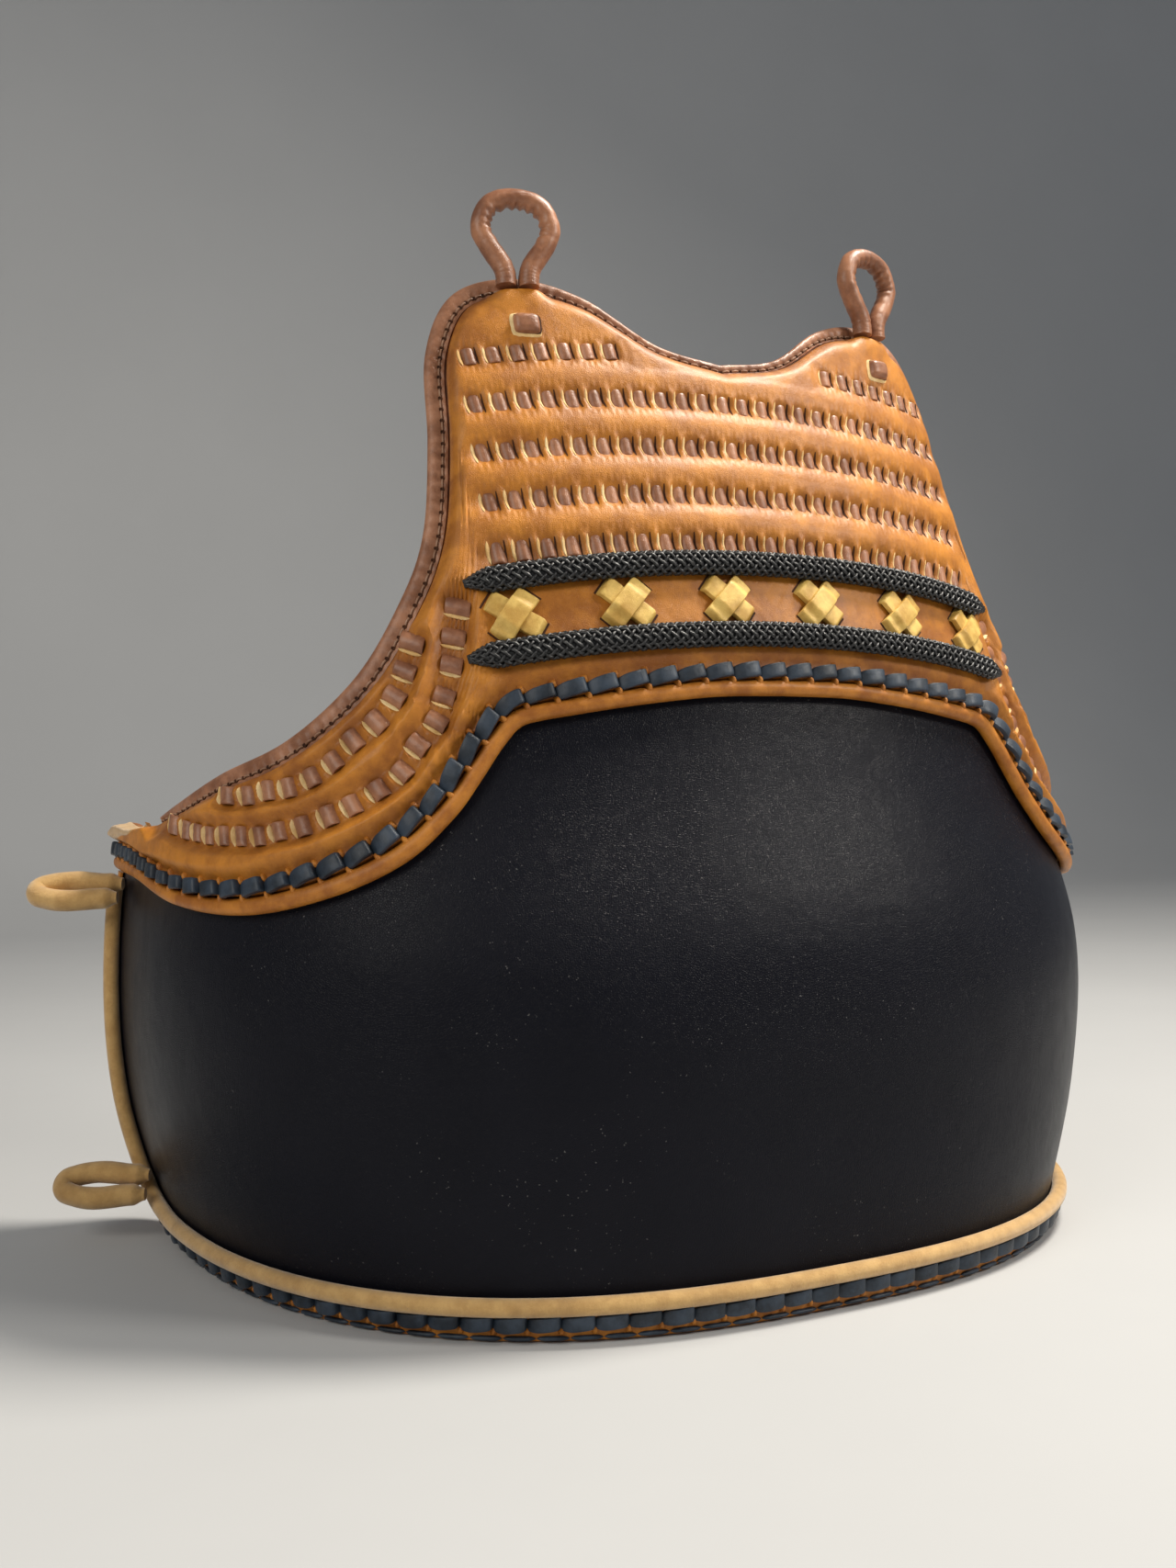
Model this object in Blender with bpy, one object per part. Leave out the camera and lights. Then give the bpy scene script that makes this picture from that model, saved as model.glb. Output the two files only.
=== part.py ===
"""Kendo chest protector: hard barrel shell, padded leather chest plate, trims, loops and cords.

Metres, +Z up, front towards -Y. Every piece is laid out by two numbers, the length round
the body from the centre front and the height, and then set off from the skin of the shell.
"""
import math

import bpy
import numpy as np

# Real sizes of the pieces
SHELL_THICK = 0.0060
SEAM = 0.0005
MUNE_GROOVE = 0.0050
MUNE_RIB = 0.0090
MUNE_EDGE = 0.0048
MUNE_SEAM = 0.0008
MUNE_SHOULDER = 0.0094
TRIM_RADIUS = 0.0035
TRIM_INSET = 0.0125
TRIM_TOP = 0.1635
BAND_THICK = 0.0016
BAND_SEAM = 0.0009
BAND_LEG = 0.0084
LACE_WIDTH = 0.0066
LACE_THIN = 0.0008
LACE_PROUD = 0.0026
LACE_PITCH = 0.0124
HEM_LACE_OUT = 0.0068
HEM_RADIUS = 0.0032
HEM_DROP = 0.0059
BINDING_LOW = 0.0005
BINDING_HIGH = 0.0027
LOOP_RADIUS = 0.0044
LOOP_OUT = 0.0078
LOOP_LEAN = 4.0
SIDE_LOOP_RADIUS = 0.0049
CORD_WIDTH = 0.0092
CORD_RISE = 0.0050
CORD_OUT = 0.0080
STRAP_WIDTH = 0.0088
STRAP_THICK = 0.0014
STRAP_REACH = 0.0096
STRAP_OUT = 0.0078
TAB_WIDTH = 0.0110
TAB_HEIGHT = 0.0080
TAB_THICK = 0.0018
TAB_OUT = 0.0089
TAB_MIDDLE = 0.3950
BACK_SHIFT = 0.0148

# The body the shell and chest plate follow: one row a height
# height, front, half_width, depth from the front to the widest line
BODY = (
    (0.000, -0.143, 0.2110, 0.232),
    (0.067, -0.145, 0.2295, 0.222),
    (0.134, -0.144, 0.2320, 0.217),
    (0.202, -0.121, 0.2205, 0.201),
    (0.269, -0.102, 0.2015, 0.169),
    (0.355, -0.073, 0.1840, 0.133),
    (0.442, -0.043, 0.1645, 0.098),
)
SQUARENESS = 2.53

# Right half of the shell: one row a column, from the centre front round to the back edge
# edge_round, edge_height, top_round, top_height
SHELL_ROWS = (
    (0.0000, 0.0022, 0.0000, 0.2640),
    (0.0500, 0.0022, 0.0490, 0.2620),
    (0.1000, 0.0022, 0.0950, 0.2560),
    (0.1500, 0.0022, 0.1310, 0.2360),
    (0.2000, 0.0022, 0.1620, 0.2060),
    (0.2500, 0.0022, 0.2030, 0.1840),
    (0.2950, 0.0022, 0.2430, 0.1755),
    (0.3350, 0.0022, 0.2820, 0.1755),
    (0.3640, 0.0068, 0.3080, 0.1775),
    (0.3830, 0.0205, 0.3280, 0.1790),
    (0.3940, 0.0440, 0.3450, 0.1800),
    (0.4005, 0.0800, 0.3620, 0.1805),
    (0.4040, 0.1200, 0.3800, 0.1805),
    (0.4020, 0.1660, 0.3985, 0.1780),
)

# Right half of the chest plate and the brown binding beyond its edge: one row a column, from
# the centre front to the wing tip
# lace_round, lace_height, rim_round, rim_height, binding_width
MUNE_ROWS = (
    (0.0000, 0.2500, 0.0000, 0.3885, 0.0046),
    (0.0320, 0.2493, 0.0300, 0.3945, 0.0046),
    (0.0640, 0.2460, 0.0600, 0.4135, 0.0062),
    (0.0900, 0.2422, 0.0890, 0.4205, 0.0084),
    (0.1110, 0.2385, 0.1160, 0.4120, 0.0086),
    (0.1195, 0.2345, 0.1305, 0.3850, 0.0086),
    (0.1245, 0.2295, 0.1346, 0.3450, 0.0086),
    (0.1300, 0.2230, 0.1416, 0.3060, 0.0086),
    (0.1375, 0.2130, 0.1548, 0.2780, 0.0086),
    (0.1485, 0.2000, 0.1770, 0.2480, 0.0086),
    (0.1680, 0.1845, 0.2100, 0.2245, 0.0084),
    (0.1980, 0.1725, 0.2500, 0.2115, 0.0078),
    (0.2360, 0.1655, 0.2880, 0.1990, 0.0058),
    (0.2800, 0.1670, 0.3280, 0.1885, 0.0000),
    (0.3280, 0.1745, 0.3660, 0.1865, 0.0000),
    (0.3860, 0.1768, 0.3885, 0.1800, 0.0000),
)
BINDING_END = 0.3060

# Heights at the centre front of the lines the padding follows, and how far it stands out
# line_height, stand, which is 0 in a stitched groove and 1 on a padded rib
RIB_LINES = (
    (0.2560, 0.30),
    (0.2640, 0.30),
    (0.2720, 0.35),
    (0.2855, 0.35),
    (0.2935, 0.30),
    (0.3030, 0.00),
    (0.3095, 0.90),
    (0.3173, 0.90),
    (0.3238, 0.00),
    (0.3304, 0.90),
    (0.3383, 0.90),
    (0.3449, 0.00),
    (0.3515, 0.90),
    (0.3594, 0.90),
    (0.3660, 0.00),
)
ROW_BOW = -0.54
CORD_BOW = -0.70
COLLAR_LINES = 5
ROW_TOP = 0.3874

# Cords, one row each: height at the centre front, half length round the body
CORDS = ((0.2935, 0.1275), (0.2640, 0.1295))
CROSS_HEIGHT = 0.2787
CROSS_PITCH = 0.0441

# Shoulder loops stand at this length round the body, on the plate's top edge at this height
LOOP_ROUND = 0.0890
LOOP_FOOT = 0.4128
# Left half of a shoulder loop from the foot to the top of the bow: across, up
LOOP_ROWS = (
    (-0.0049, 0.0000),
    (-0.0049, 0.0040),
    (-0.0064, 0.0090),
    (-0.0122, 0.0180),
    (-0.0147, 0.0255),
    (-0.0104, 0.0344),
    (0.0000, 0.0375),
)
# Side loops: name, round the body, height, lean about their own axis in degrees, out
SIDE_LOOPS = (
    ("upper", 0.3720, 0.1585, 34.0, 0.0040),
    ("lower", 0.3560, 0.0270, 42.0, 0.0056),
)
SIDE_LOOP_REACH = 0.0380
SIDE_LOOP_HALF = 0.0076

# Colours, one row each: name, red, green, blue, roughness
COLOURS = {
    "black_leather": (0.012, 0.012, 0.018, 0.30),
    "tan_leather": (0.480, 0.210, 0.055, 0.45),
    "brown_leather": (0.240, 0.095, 0.045, 0.45),
    "suede": (0.520, 0.330, 0.140, 0.90),
    "indigo_strap": (0.030, 0.045, 0.070, 0.40),
    "black_cord": (0.010, 0.010, 0.012, 0.60),
    "yellow_leather": (0.660, 0.460, 0.200, 0.50),
}

SWEEP = np.radians(np.linspace(-140.0, 140.0, 241))


def curve(rows, at):
    """Smooth values between the rows, with the first column as the place of each row."""
    rows = np.asarray(rows, float)
    place, value = rows[:, 0], rows[:, 1:]
    slope = np.gradient(value, place, axis=0)
    at = np.asarray(at, float)
    k = np.clip(np.searchsorted(place, at) - 1, 0, len(place) - 2)
    span = (place[k + 1] - place[k])[:, None]
    t = ((at - place[k]) / span[:, 0])[:, None]
    a, b = value[k], value[k + 1]
    da, db = slope[k] * span, slope[k + 1] * span
    ends = (2 * t**3 - 3 * t**2 + 1) * a + (3 * t**2 - 2 * t**3) * b
    return ends + (t**3 - 2 * t**2 + t) * da + (t**3 - t**2) * db


def along(rows, count):
    """The rows of a table run smoothly into count evenly numbered rows."""
    rows = np.asarray(rows, float)
    table = np.column_stack([np.arange(len(rows)), rows])
    return curve(table, np.linspace(0, len(rows) - 1, count))


def sections(height):
    """Closed form of the body at each height: x, y and length round from the centre front."""
    front, half, depth = curve(BODY, height).T
    power = 2.0 / SQUARENESS
    side = np.sign(np.sin(SWEEP)) * np.abs(np.sin(SWEEP)) ** power
    fore = np.sign(np.cos(SWEEP)) * np.abs(np.cos(SWEEP)) ** power
    x = half[:, None] * side[None]
    y = (front + depth)[:, None] - depth[:, None] * fore[None]
    step = np.hypot(np.diff(x, axis=1), np.diff(y, axis=1))
    length = np.concatenate([np.zeros((len(height), 1)), np.cumsum(step, axis=1)], axis=1)
    length -= length[:, len(SWEEP) // 2][:, None]
    return x, y, length


def pick(x, y, length, round_):
    row = np.arange(len(round_))
    k = np.clip((length < round_[:, None]).sum(1) - 1, 0, length.shape[1] - 2)
    t = (round_ - length[row, k]) / (length[row, k + 1] - length[row, k])
    px = x[row, k] + t * (x[row, k + 1] - x[row, k])
    py = y[row, k] + t * (y[row, k + 1] - y[row, k])
    return px, py


def skin(round_, height, out=0.0):
    """Points of the body at a length round it and a height, moved out along the normal."""
    given = [np.asarray(value, float) for value in (round_, height, out)]
    round_, height, out = np.broadcast_arrays(*given)
    shape = round_.shape
    round_, height, out = round_.ravel(), height.ravel(), out.ravel()
    here = sections(height)
    px, py = pick(*here, round_)
    ax, ay = pick(*here, round_ - 0.004)
    bx, by = pick(*here, round_ + 0.004)
    qx, qy = pick(*sections(height + 0.002), round_)
    tangent = np.column_stack([bx - ax, by - ay, np.zeros_like(ax)])
    rise = np.column_stack([qx - px, qy - py, np.full_like(px, 0.002)])
    normal = np.cross(tangent, rise)
    normal /= np.linalg.norm(normal, axis=1)[:, None]
    points = np.column_stack([px, py, height]) + out[:, None] * normal
    points[:, 1] += BACK_SHIFT
    return points.reshape(shape + (3,))


def mirrored(half, rounds=(0, 2)):
    """A path or table of the right half run from the left end to the right end."""
    half = np.asarray(half, float)
    left = np.array(half[:0:-1])
    for column in rounds:
        if column < half.shape[1]:
            left[:, column] *= -1
    return np.vstack([left, half])


def even(path, step, start=None, end=None):
    """A path of rounds and heights at even steps, optionally between two lengths along it."""
    length = np.concatenate([[0], np.cumsum(np.hypot(*np.diff(path, axis=0).T))])
    a = 0 if start is None else start
    b = length[-1] if end is None else end
    at = np.linspace(a, b, max(3, int(round((b - a) / step)) + 1))
    return np.column_stack([np.interp(at, length, path[:, c]) for c in range(2)])


def aside(path, distance):
    """A path moved sideways on the body, to its left as it runs."""
    run = np.gradient(path, axis=0)
    run /= np.linalg.norm(run, axis=1)[:, None]
    distance = np.reshape(distance, (-1, 1))
    return path + distance * np.column_stack([-run[:, 1], run[:, 0]])


def material(name):
    found = bpy.data.materials.get(name)
    if found is None:
        found = bpy.data.materials.new(name)
        found.use_nodes = True
        red, green, blue, rough = COLOURS[name]
        surface = found.node_tree.nodes["Principled BSDF"]
        surface.inputs["Base Color"].default_value = (red, green, blue, 1.0)
        surface.inputs["Roughness"].default_value = rough
        found.diffuse_color = (red, green, blue, 1.0)
    return found


def solid(name, verts, faces, colour):
    """One closed piece with its faces turned outwards."""
    verts = np.asarray(verts, float)
    volume = 0.0
    for face in faces:
        a = verts[face[0]]
        for i in range(1, len(face) - 1):
            volume += np.dot(a, np.cross(verts[face[i]], verts[face[i + 1]]))
    if volume < 0:
        faces = [tuple(reversed(face)) for face in faces]
    mesh = bpy.data.meshes.new(name)
    mesh.from_pydata([tuple(v) for v in verts], [], [tuple(int(i) for i in f) for f in faces])
    mesh.update()
    mesh.shade_smooth()
    mesh.set_sharp_from_angle(angle=math.radians(50))
    mesh.materials.append(material(colour))
    made = bpy.data.objects.new(name, mesh)
    bpy.data.collections["parts"].objects.link(made)
    return made


def slab(name, outer, inner, colour):
    """A wall between two grids of points with the same rows and columns."""
    rows, cols = outer.shape[:2]
    verts = np.vstack([outer.reshape(-1, 3), inner.reshape(-1, 3)])
    base = rows * cols
    faces = []
    for r in range(rows - 1):
        for c in range(cols - 1):
            a = r * cols + c
            faces.append((a, a + 1, a + cols + 1, a + cols))
            faces.append((base + a, base + a + cols, base + a + cols + 1, base + a + 1))
    rim = [r * cols for r in range(rows)]
    rim += [(rows - 1) * cols + c for c in range(1, cols)]
    rim += [r * cols + cols - 1 for r in range(rows - 2, -1, -1)]
    rim += [c for c in range(cols - 2, 0, -1)]
    for a, b in zip(rim, rim[1:] + rim[:1]):
        faces.append((a, b, base + b, base + a))
    return solid(name, verts, faces, colour)


def swept(name, rings, colour):
    """A run of rings of points closed by a cap at each end."""
    rings = np.asarray(rings, float)
    count, sides = rings.shape[:2]
    faces = []
    for r in range(count - 1):
        for c in range(sides):
            d = (c + 1) % sides
            faces.append((r * sides + c, r * sides + d, (r + 1) * sides + d, (r + 1) * sides + c))
    faces.append(tuple(range(sides))[::-1])
    faces.append(tuple((count - 1) * sides + c for c in range(sides)))
    return solid(name, rings.reshape(-1, 3), faces, colour)


def laid(path, profile):
    """Rings of a profile laid along a path on the body.

    The profile is rows of (aside, out), aside to the left of the path and out from the skin.
    """
    run = np.gradient(path, axis=0)
    run /= np.linalg.norm(run, axis=1)[:, None]
    left = np.column_stack([-run[:, 1], run[:, 0]])
    profile = np.asarray(profile, float)
    if profile.ndim == 2:
        profile = np.broadcast_to(profile, (len(path),) + profile.shape)
    place = path[:, None, :] + profile[:, :, :1] * left[:, None, :]
    return skin(place[..., 0], place[..., 1], profile[..., 1])


def tube(path, radius, sides, flat=1.0, first=(0.0, 0.0, 1.0)):
    """Rings round a line of points in space, turned as little as may be."""
    path = np.asarray(path, float)
    run = np.gradient(path, axis=0)
    run /= np.linalg.norm(run, axis=1)[:, None]
    up = np.asarray(first, float)
    turn = np.linspace(0, 2 * math.pi, sides, endpoint=False)
    radius = np.broadcast_to(np.asarray(radius, float), (len(path),))
    rings = []
    for point, ahead, r in zip(path, run, radius):
        up = up - np.dot(up, ahead) * ahead
        up /= np.linalg.norm(up)
        out = np.cross(ahead, up)
        rings.append([point + r * (math.cos(a) * up + flat * math.sin(a) * out) for a in turn])
    return rings


# Start from an empty scene with one collection for the parts
for old in list(bpy.data.objects):
    bpy.data.objects.remove(old, do_unlink=True)
parts = bpy.data.collections.new("parts")
bpy.context.scene.collection.children.link(parts)

# Barrel shell, black leather over a hard core
shell = mirrored(along(SHELL_ROWS, 34))
up = np.linspace(0, 1, 9)[:, None]
round_ = shell[:, 0] * (1 - up) + shell[:, 2] * up
height = shell[:, 1] * (1 - up) + shell[:, 3] * up
slab("shell", skin(round_, height, 0.0), skin(round_, height, -SHELL_THICK), "black_leather")

# Edge band of tan leather folded over the shell's base and back edges
edge = mirrored(along([row[:2] for row in SHELL_ROWS], 241))
edge_line = shell[:, :2]
out_leg = BAND_SEAM + BAND_THICK
in_leg = -SHELL_THICK - BAND_SEAM - BAND_THICK
profile = [
    (-out_leg, out_leg),
    (BAND_LEG, out_leg),
    (BAND_LEG, BAND_SEAM),
    (-BAND_SEAM, BAND_SEAM),
    (-BAND_SEAM, -SHELL_THICK - BAND_SEAM),
    (BAND_LEG, -SHELL_THICK - BAND_SEAM),
    (BAND_LEG, in_leg),
    (-out_leg, in_leg),
]
band = laid(edge_line, profile)
flat = np.abs(edge_line[:, 0]) < 0.330
band[flat, 0, 2] = 0.0
band[flat, 7, 2] = 0.0
band[:, :, 2] = np.maximum(band[:, :, 2], 0.0)
swept("edge_band", band, "tan_leather")

# Suede roll beside the band
turn = np.linspace(0, 2 * math.pi, 6, endpoint=False)
roll_line = even(aside(edge, TRIM_INSET), 0.0135, 0.002)
roll_line = roll_line[roll_line[:, 1] < TRIM_TOP]
ring = np.column_stack([TRIM_RADIUS * np.cos(turn), SEAM + TRIM_RADIUS + TRIM_RADIUS * np.sin(turn)])
swept("edge_roll", laid(roll_line, ring), "suede")


def laced(name, line, inner, pitch, colour):
    """A flat strap laced along a line: the outer points stand out as one bead a stitch."""
    length = np.concatenate([[0], np.cumsum(np.hypot(*np.diff(line, axis=0).T))])
    beads = int(length[-1] // pitch)
    start = 0.5 * (length[-1] - beads * pitch)
    at = []
    stand = []
    for bead in range(beads):
        for part_, high in ((0.0, 0.0), (0.5, 1.0)):
            at.append(start + (bead + part_) * pitch)
            stand.append(high)
    place = np.column_stack([np.interp(at, length, line[:, c]) for c in range(2)])
    stand = np.asarray(stand)
    wide = LACE_WIDTH * (0.36 + 0.14 * stand)
    high = inner + LACE_THIN + (LACE_PROUD - LACE_THIN) * stand
    low = np.full_like(high, inner)
    profile = np.stack(
        [
            np.column_stack([-wide, low]),
            np.column_stack([-wide * 0.85, high - 0.0003]),
            np.column_stack([wide * 0.85, high - 0.0003]),
            np.column_stack([wide, low]),
        ],
        axis=1,
    )
    swept(name, laid(place, profile), colour)


# Indigo strap laced over the edge band
lace_line = even(aside(edge, 0.0040), 0.004, 0.002)
lace_line = lace_line[lace_line[:, 1] < TRIM_TOP]
laced("edge_lacing", lace_line, out_leg + SEAM, LACE_PITCH, "indigo_strap")

# Padded chest plate of tan leather
plate = mirrored(along(MUNE_ROWS, 26))
lace = plate[:, :2]
rim = plate[:, 2:4]
binding_width = plate[:, 4]
gap = np.where(binding_width > 0.0005, 0.0004, 0.0)
centre = np.minimum(np.abs(plate[:, 0]), 0.111)
side = np.abs(plate[:, 0]) >= 0.111
lower = aside(lace, -0.0022)
upper = aside(rim, -(binding_width + gap))
lace_z = np.where(side, 0.2385, lower[:, 1])
rim_z = np.where(side, 0.4040, upper[:, 1])
lines = [np.zeros(len(plate))]
stands = [np.full(len(plate), 0.0)]
for line_height, stand in RIB_LINES:
    bow = ROW_BOW if line_height > 0.3 else CORD_BOW
    lines.append((line_height + bow * centre**2 - lace_z) / (rim_z - lace_z))
    stands.append(np.full(len(plate), stand))
first = lines[-1]
reach = first * (rim_z - lace_z) + lace_z
for step in range(1, COLLAR_LINES + 1):
    share = step / COLLAR_LINES
    lines.append(first + (1 - first) * share)
    z = reach + (rim_z - reach) * share
    near = np.abs(z - (ROW_TOP + ROW_BOW * centre**2)) / 0.006
    stands.append(np.clip(near, 0.10, 0.60))
share = np.array(lines)
stand = np.array(stands)
round_ = lower[:, 0] + (upper[:, 0] - lower[:, 0]) * share
height = lower[:, 1] + (upper[:, 1] - lower[:, 1]) * share
thick = MUNE_GROOVE + (MUNE_RIB - MUNE_GROOVE) * stand
wing = np.clip((np.abs(plate[:, 0]) - 0.108) / 0.010, 0, 1)[None, :]
groove = np.minimum(np.abs(share - 0.335), np.abs(share - 0.578)) / 0.06
padded = MUNE_GROOVE + 0.0018 * np.clip(groove, 0, 1)
thick = thick * (1 - wing) + padded * wing
full_rim = mirrored(along(MUNE_ROWS, 241))
rim_path = full_rim[:, 2:4]
edge_path = aside(rim_path, -full_rim[:, 4])
rim_gap = np.hypot(round_[..., None] - edge_path[:, 0], height[..., None] - edge_path[:, 1]).min(axis=2)
rim_fade = np.clip((rim_gap - 0.0008) / 0.006, 0, 1)
lace_path = full_rim[:, :2]
lace_gap = np.hypot(round_[..., None] - lace_path[:, 0], height[..., None] - lace_path[:, 1]).min(axis=2)
lace_fade = np.clip((lace_gap - 0.0035) / 0.004, 0, 1)
thick = MUNE_EDGE + (thick - MUNE_EDGE) * np.minimum(rim_fade, lace_fade)
tip = np.clip((np.abs(plate[:, 0]) - 0.33) / 0.05, 0, 1)[None, :]
thick = thick * (1 - tip) + MUNE_EDGE * tip
near_loop = np.clip(1.6 - np.abs(np.abs(round_) - LOOP_ROUND) / 0.012, 0, 1)
near_loop = near_loop * np.clip((height - 0.3990) / 0.008, 0, 1)
thick = thick + (MUNE_SHOULDER - thick) * near_loop
slab("chest_plate", skin(round_, height, MUNE_SEAM + thick), skin(round_, height, MUNE_SEAM), "tan_leather")

# Hem roll below the lacing, then the lacing itself
hem_line = even(aside(lace_path, -HEM_DROP), 0.0120, 0.004)
ring = np.column_stack([HEM_RADIUS * np.cos(turn), SEAM + HEM_RADIUS + HEM_RADIUS * np.sin(turn)])
swept("hem_roll", laid(hem_line, ring), "tan_leather")
laced("hem_lacing", even(lace_path, 0.004, 0.004), HEM_LACE_OUT, LACE_PITCH, "indigo_strap")

# Brown binding, a strip of the backing leather that stands out beyond the plate's edge
outer = mirrored(along(MUNE_ROWS, 51))[:, 2:4]
inner = np.zeros_like(outer)
inner[0::2] = aside(rim, -binding_width)
inner[1::2] = 0.5 * (inner[0:-1:2] + inner[2::2])
bound = np.abs(outer[:, 0]) < BINDING_END
outer = outer[bound]
inner = inner[bound]
# share of the width from the inner edge, out
BINDING_PROFILE = (
    (0.00, BINDING_LOW),
    (0.00, BINDING_HIGH),
    (0.82, BINDING_HIGH + 0.0003),
    (1.00, BINDING_HIGH - 0.0009),
    (1.00, BINDING_LOW),
)
rings = [skin(*(inner + (outer - inner) * across).T, out) for across, out in BINDING_PROFILE]
swept("binding", np.stack(rings, axis=1), "brown_leather")

# Shoulder loops of rolled brown leather and the tabs that hold them
for name, hand in (("left", -1), ("right", 1)):
    half = np.array(LOOP_ROWS)
    shape = np.vstack([half, half[-2::-1] * (-1, 1)])
    shape = along(shape, 29)
    foot = skin(hand * LOOP_ROUND, LOOP_FOOT, LOOP_OUT)
    across = skin(hand * LOOP_ROUND + 0.004, LOOP_FOOT) - skin(hand * LOOP_ROUND - 0.004, LOOP_FOOT)
    across /= np.linalg.norm(across)
    rise = np.array([0.0, math.sin(math.radians(LOOP_LEAN)), math.cos(math.radians(LOOP_LEAN))])
    line = foot + shape[:, :1] * across + shape[:, 1:2] * rise
    rings = tube(line, LOOP_RADIUS, 8, first=np.cross(across, rise))
    swept("shoulder_loop_" + name, rings, "brown_leather")
    middle = (hand * (LOOP_ROUND - 0.0010), TAB_MIDDLE)
    half_wide = TAB_WIDTH / 2
    half_tall = TAB_HEIGHT / 2
    tab = np.array(
        [
            (-half_wide, half_tall),
            (-half_wide, -0.3 * half_tall),
            (-0.5 * half_wide, -half_tall),
            (0.5 * half_wide, -half_tall),
            (half_wide, -0.3 * half_tall),
            (half_wide, half_tall),
        ]
    )
    low = skin(middle[0] + tab[:, 0], middle[1] + tab[:, 1], TAB_OUT)
    high = skin(middle[0] + tab[:, 0] * 0.9, middle[1] + tab[:, 1] * 0.9, TAB_OUT + TAB_THICK)
    swept("shoulder_tab_" + name, [low, high], "brown_leather")

# Suede loops at the back edges
for which, loop_round, loop_height, lean, out in SIDE_LOOPS:
    for name, hand in (("left", -1), ("right", 1)):
        shape = np.array(
            [
                (0.0000, -0.0051),
                (0.0100, -0.0056),
                (0.62 * SIDE_LOOP_REACH, -SIDE_LOOP_HALF),
                (0.93 * SIDE_LOOP_REACH, -0.62 * SIDE_LOOP_HALF),
                (SIDE_LOOP_REACH, 0.0),
            ]
        )
        shape = np.vstack([shape, (shape[-2::-1] * (1, -1))])
        shape = along(shape, 21)
        foot = skin(hand * loop_round, loop_height, out)
        ahead = np.array([0.90 * hand, 0.44, 0.0])
        ahead /= np.linalg.norm(ahead)
        sideways = np.array([0.44 * hand, -0.90, 0.0])
        sideways /= np.linalg.norm(sideways)
        lean_ = math.radians(lean)
        across = math.cos(lean_) * sideways + math.sin(lean_) * np.array([0.0, 0.0, -1.0])
        line = foot + shape[:, :1] * ahead + shape[:, 1:2] * across
        rings = tube(line, SIDE_LOOP_RADIUS, 7, first=np.cross(ahead, across))
        swept("side_loop_" + which + "_" + name, rings, "suede")

# Two braided cords across the chest
cord_turn = np.radians(np.array([0, 35, 70, 110, 145, 180]))
for name, (cord_height, cord_half) in zip(("upper", "lower"), CORDS):
    s = np.linspace(-cord_half, cord_half, 33)
    line = np.column_stack([s, cord_height + CORD_BOW * s**2])
    thin = np.clip((cord_half - np.abs(s)) / 0.010, 0.25, 1.0) ** 0.6
    profile = np.stack(
        [
            np.column_stack(
                [
                    0.5 * CORD_WIDTH * np.cos(a) * thin,
                    CORD_OUT + CORD_RISE * np.sin(a) * thin,
                ]
            )
            for a in cord_turn
        ],
        axis=1,
    )
    swept("cord_" + name, laid(line, profile), "black_cord")

# Six crosses of yellow leather, each of two straps, the rising one on top
for index in range(6):
    s = (index - 2.5) * CROSS_PITCH
    z = CROSS_HEIGHT + CORD_BOW * s**2
    for which, lean, lift in (("under", -1, 0.0), ("over", 1, STRAP_THICK + 2 * SEAM)):
        angle = math.radians(43.0) * lean + math.atan(2 * CORD_BOW * s)
        t = np.linspace(-1, 1, 7)
        line = np.column_stack([s + STRAP_REACH * t * math.cos(angle),
                                z + STRAP_REACH * t * math.sin(angle)])
        rise = STRAP_OUT + lift * np.clip(1.7 - 1.7 * np.abs(t), 0, 1)
        wide = STRAP_WIDTH / 2
        profile = np.stack(
            [
                np.column_stack([np.full(7, -wide), rise]),
                np.column_stack([np.full(7, -0.9 * wide), rise + STRAP_THICK]),
                np.column_stack([np.full(7, 0.9 * wide), rise + STRAP_THICK]),
                np.column_stack([np.full(7, wide), rise]),
            ],
            axis=1,
        )
        swept("cross_%d_%s" % (index + 1, which), laid(line, profile), "yellow_leather")
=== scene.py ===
"""Kendo chest protector: the looks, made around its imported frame.

Metres, +Z up, front towards -Y. A place on the body is given by two numbers, the length round it
from the centre front and the height, and by how far it stands out from the skin of the shell.
"""
import math

import bpy
import numpy as np
from mathutils import Matrix, Vector, noise


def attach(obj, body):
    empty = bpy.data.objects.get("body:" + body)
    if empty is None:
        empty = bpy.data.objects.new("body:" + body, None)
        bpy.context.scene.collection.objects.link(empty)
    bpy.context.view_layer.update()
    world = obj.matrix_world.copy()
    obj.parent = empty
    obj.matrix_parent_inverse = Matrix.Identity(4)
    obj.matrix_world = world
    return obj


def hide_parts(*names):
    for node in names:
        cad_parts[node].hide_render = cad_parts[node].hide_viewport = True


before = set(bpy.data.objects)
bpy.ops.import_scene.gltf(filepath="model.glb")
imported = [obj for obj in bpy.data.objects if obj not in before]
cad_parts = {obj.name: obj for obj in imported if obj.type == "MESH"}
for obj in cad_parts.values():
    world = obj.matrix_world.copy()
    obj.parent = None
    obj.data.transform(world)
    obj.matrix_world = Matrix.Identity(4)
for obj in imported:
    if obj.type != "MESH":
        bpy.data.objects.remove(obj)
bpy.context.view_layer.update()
scene = bpy.context.scene

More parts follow.
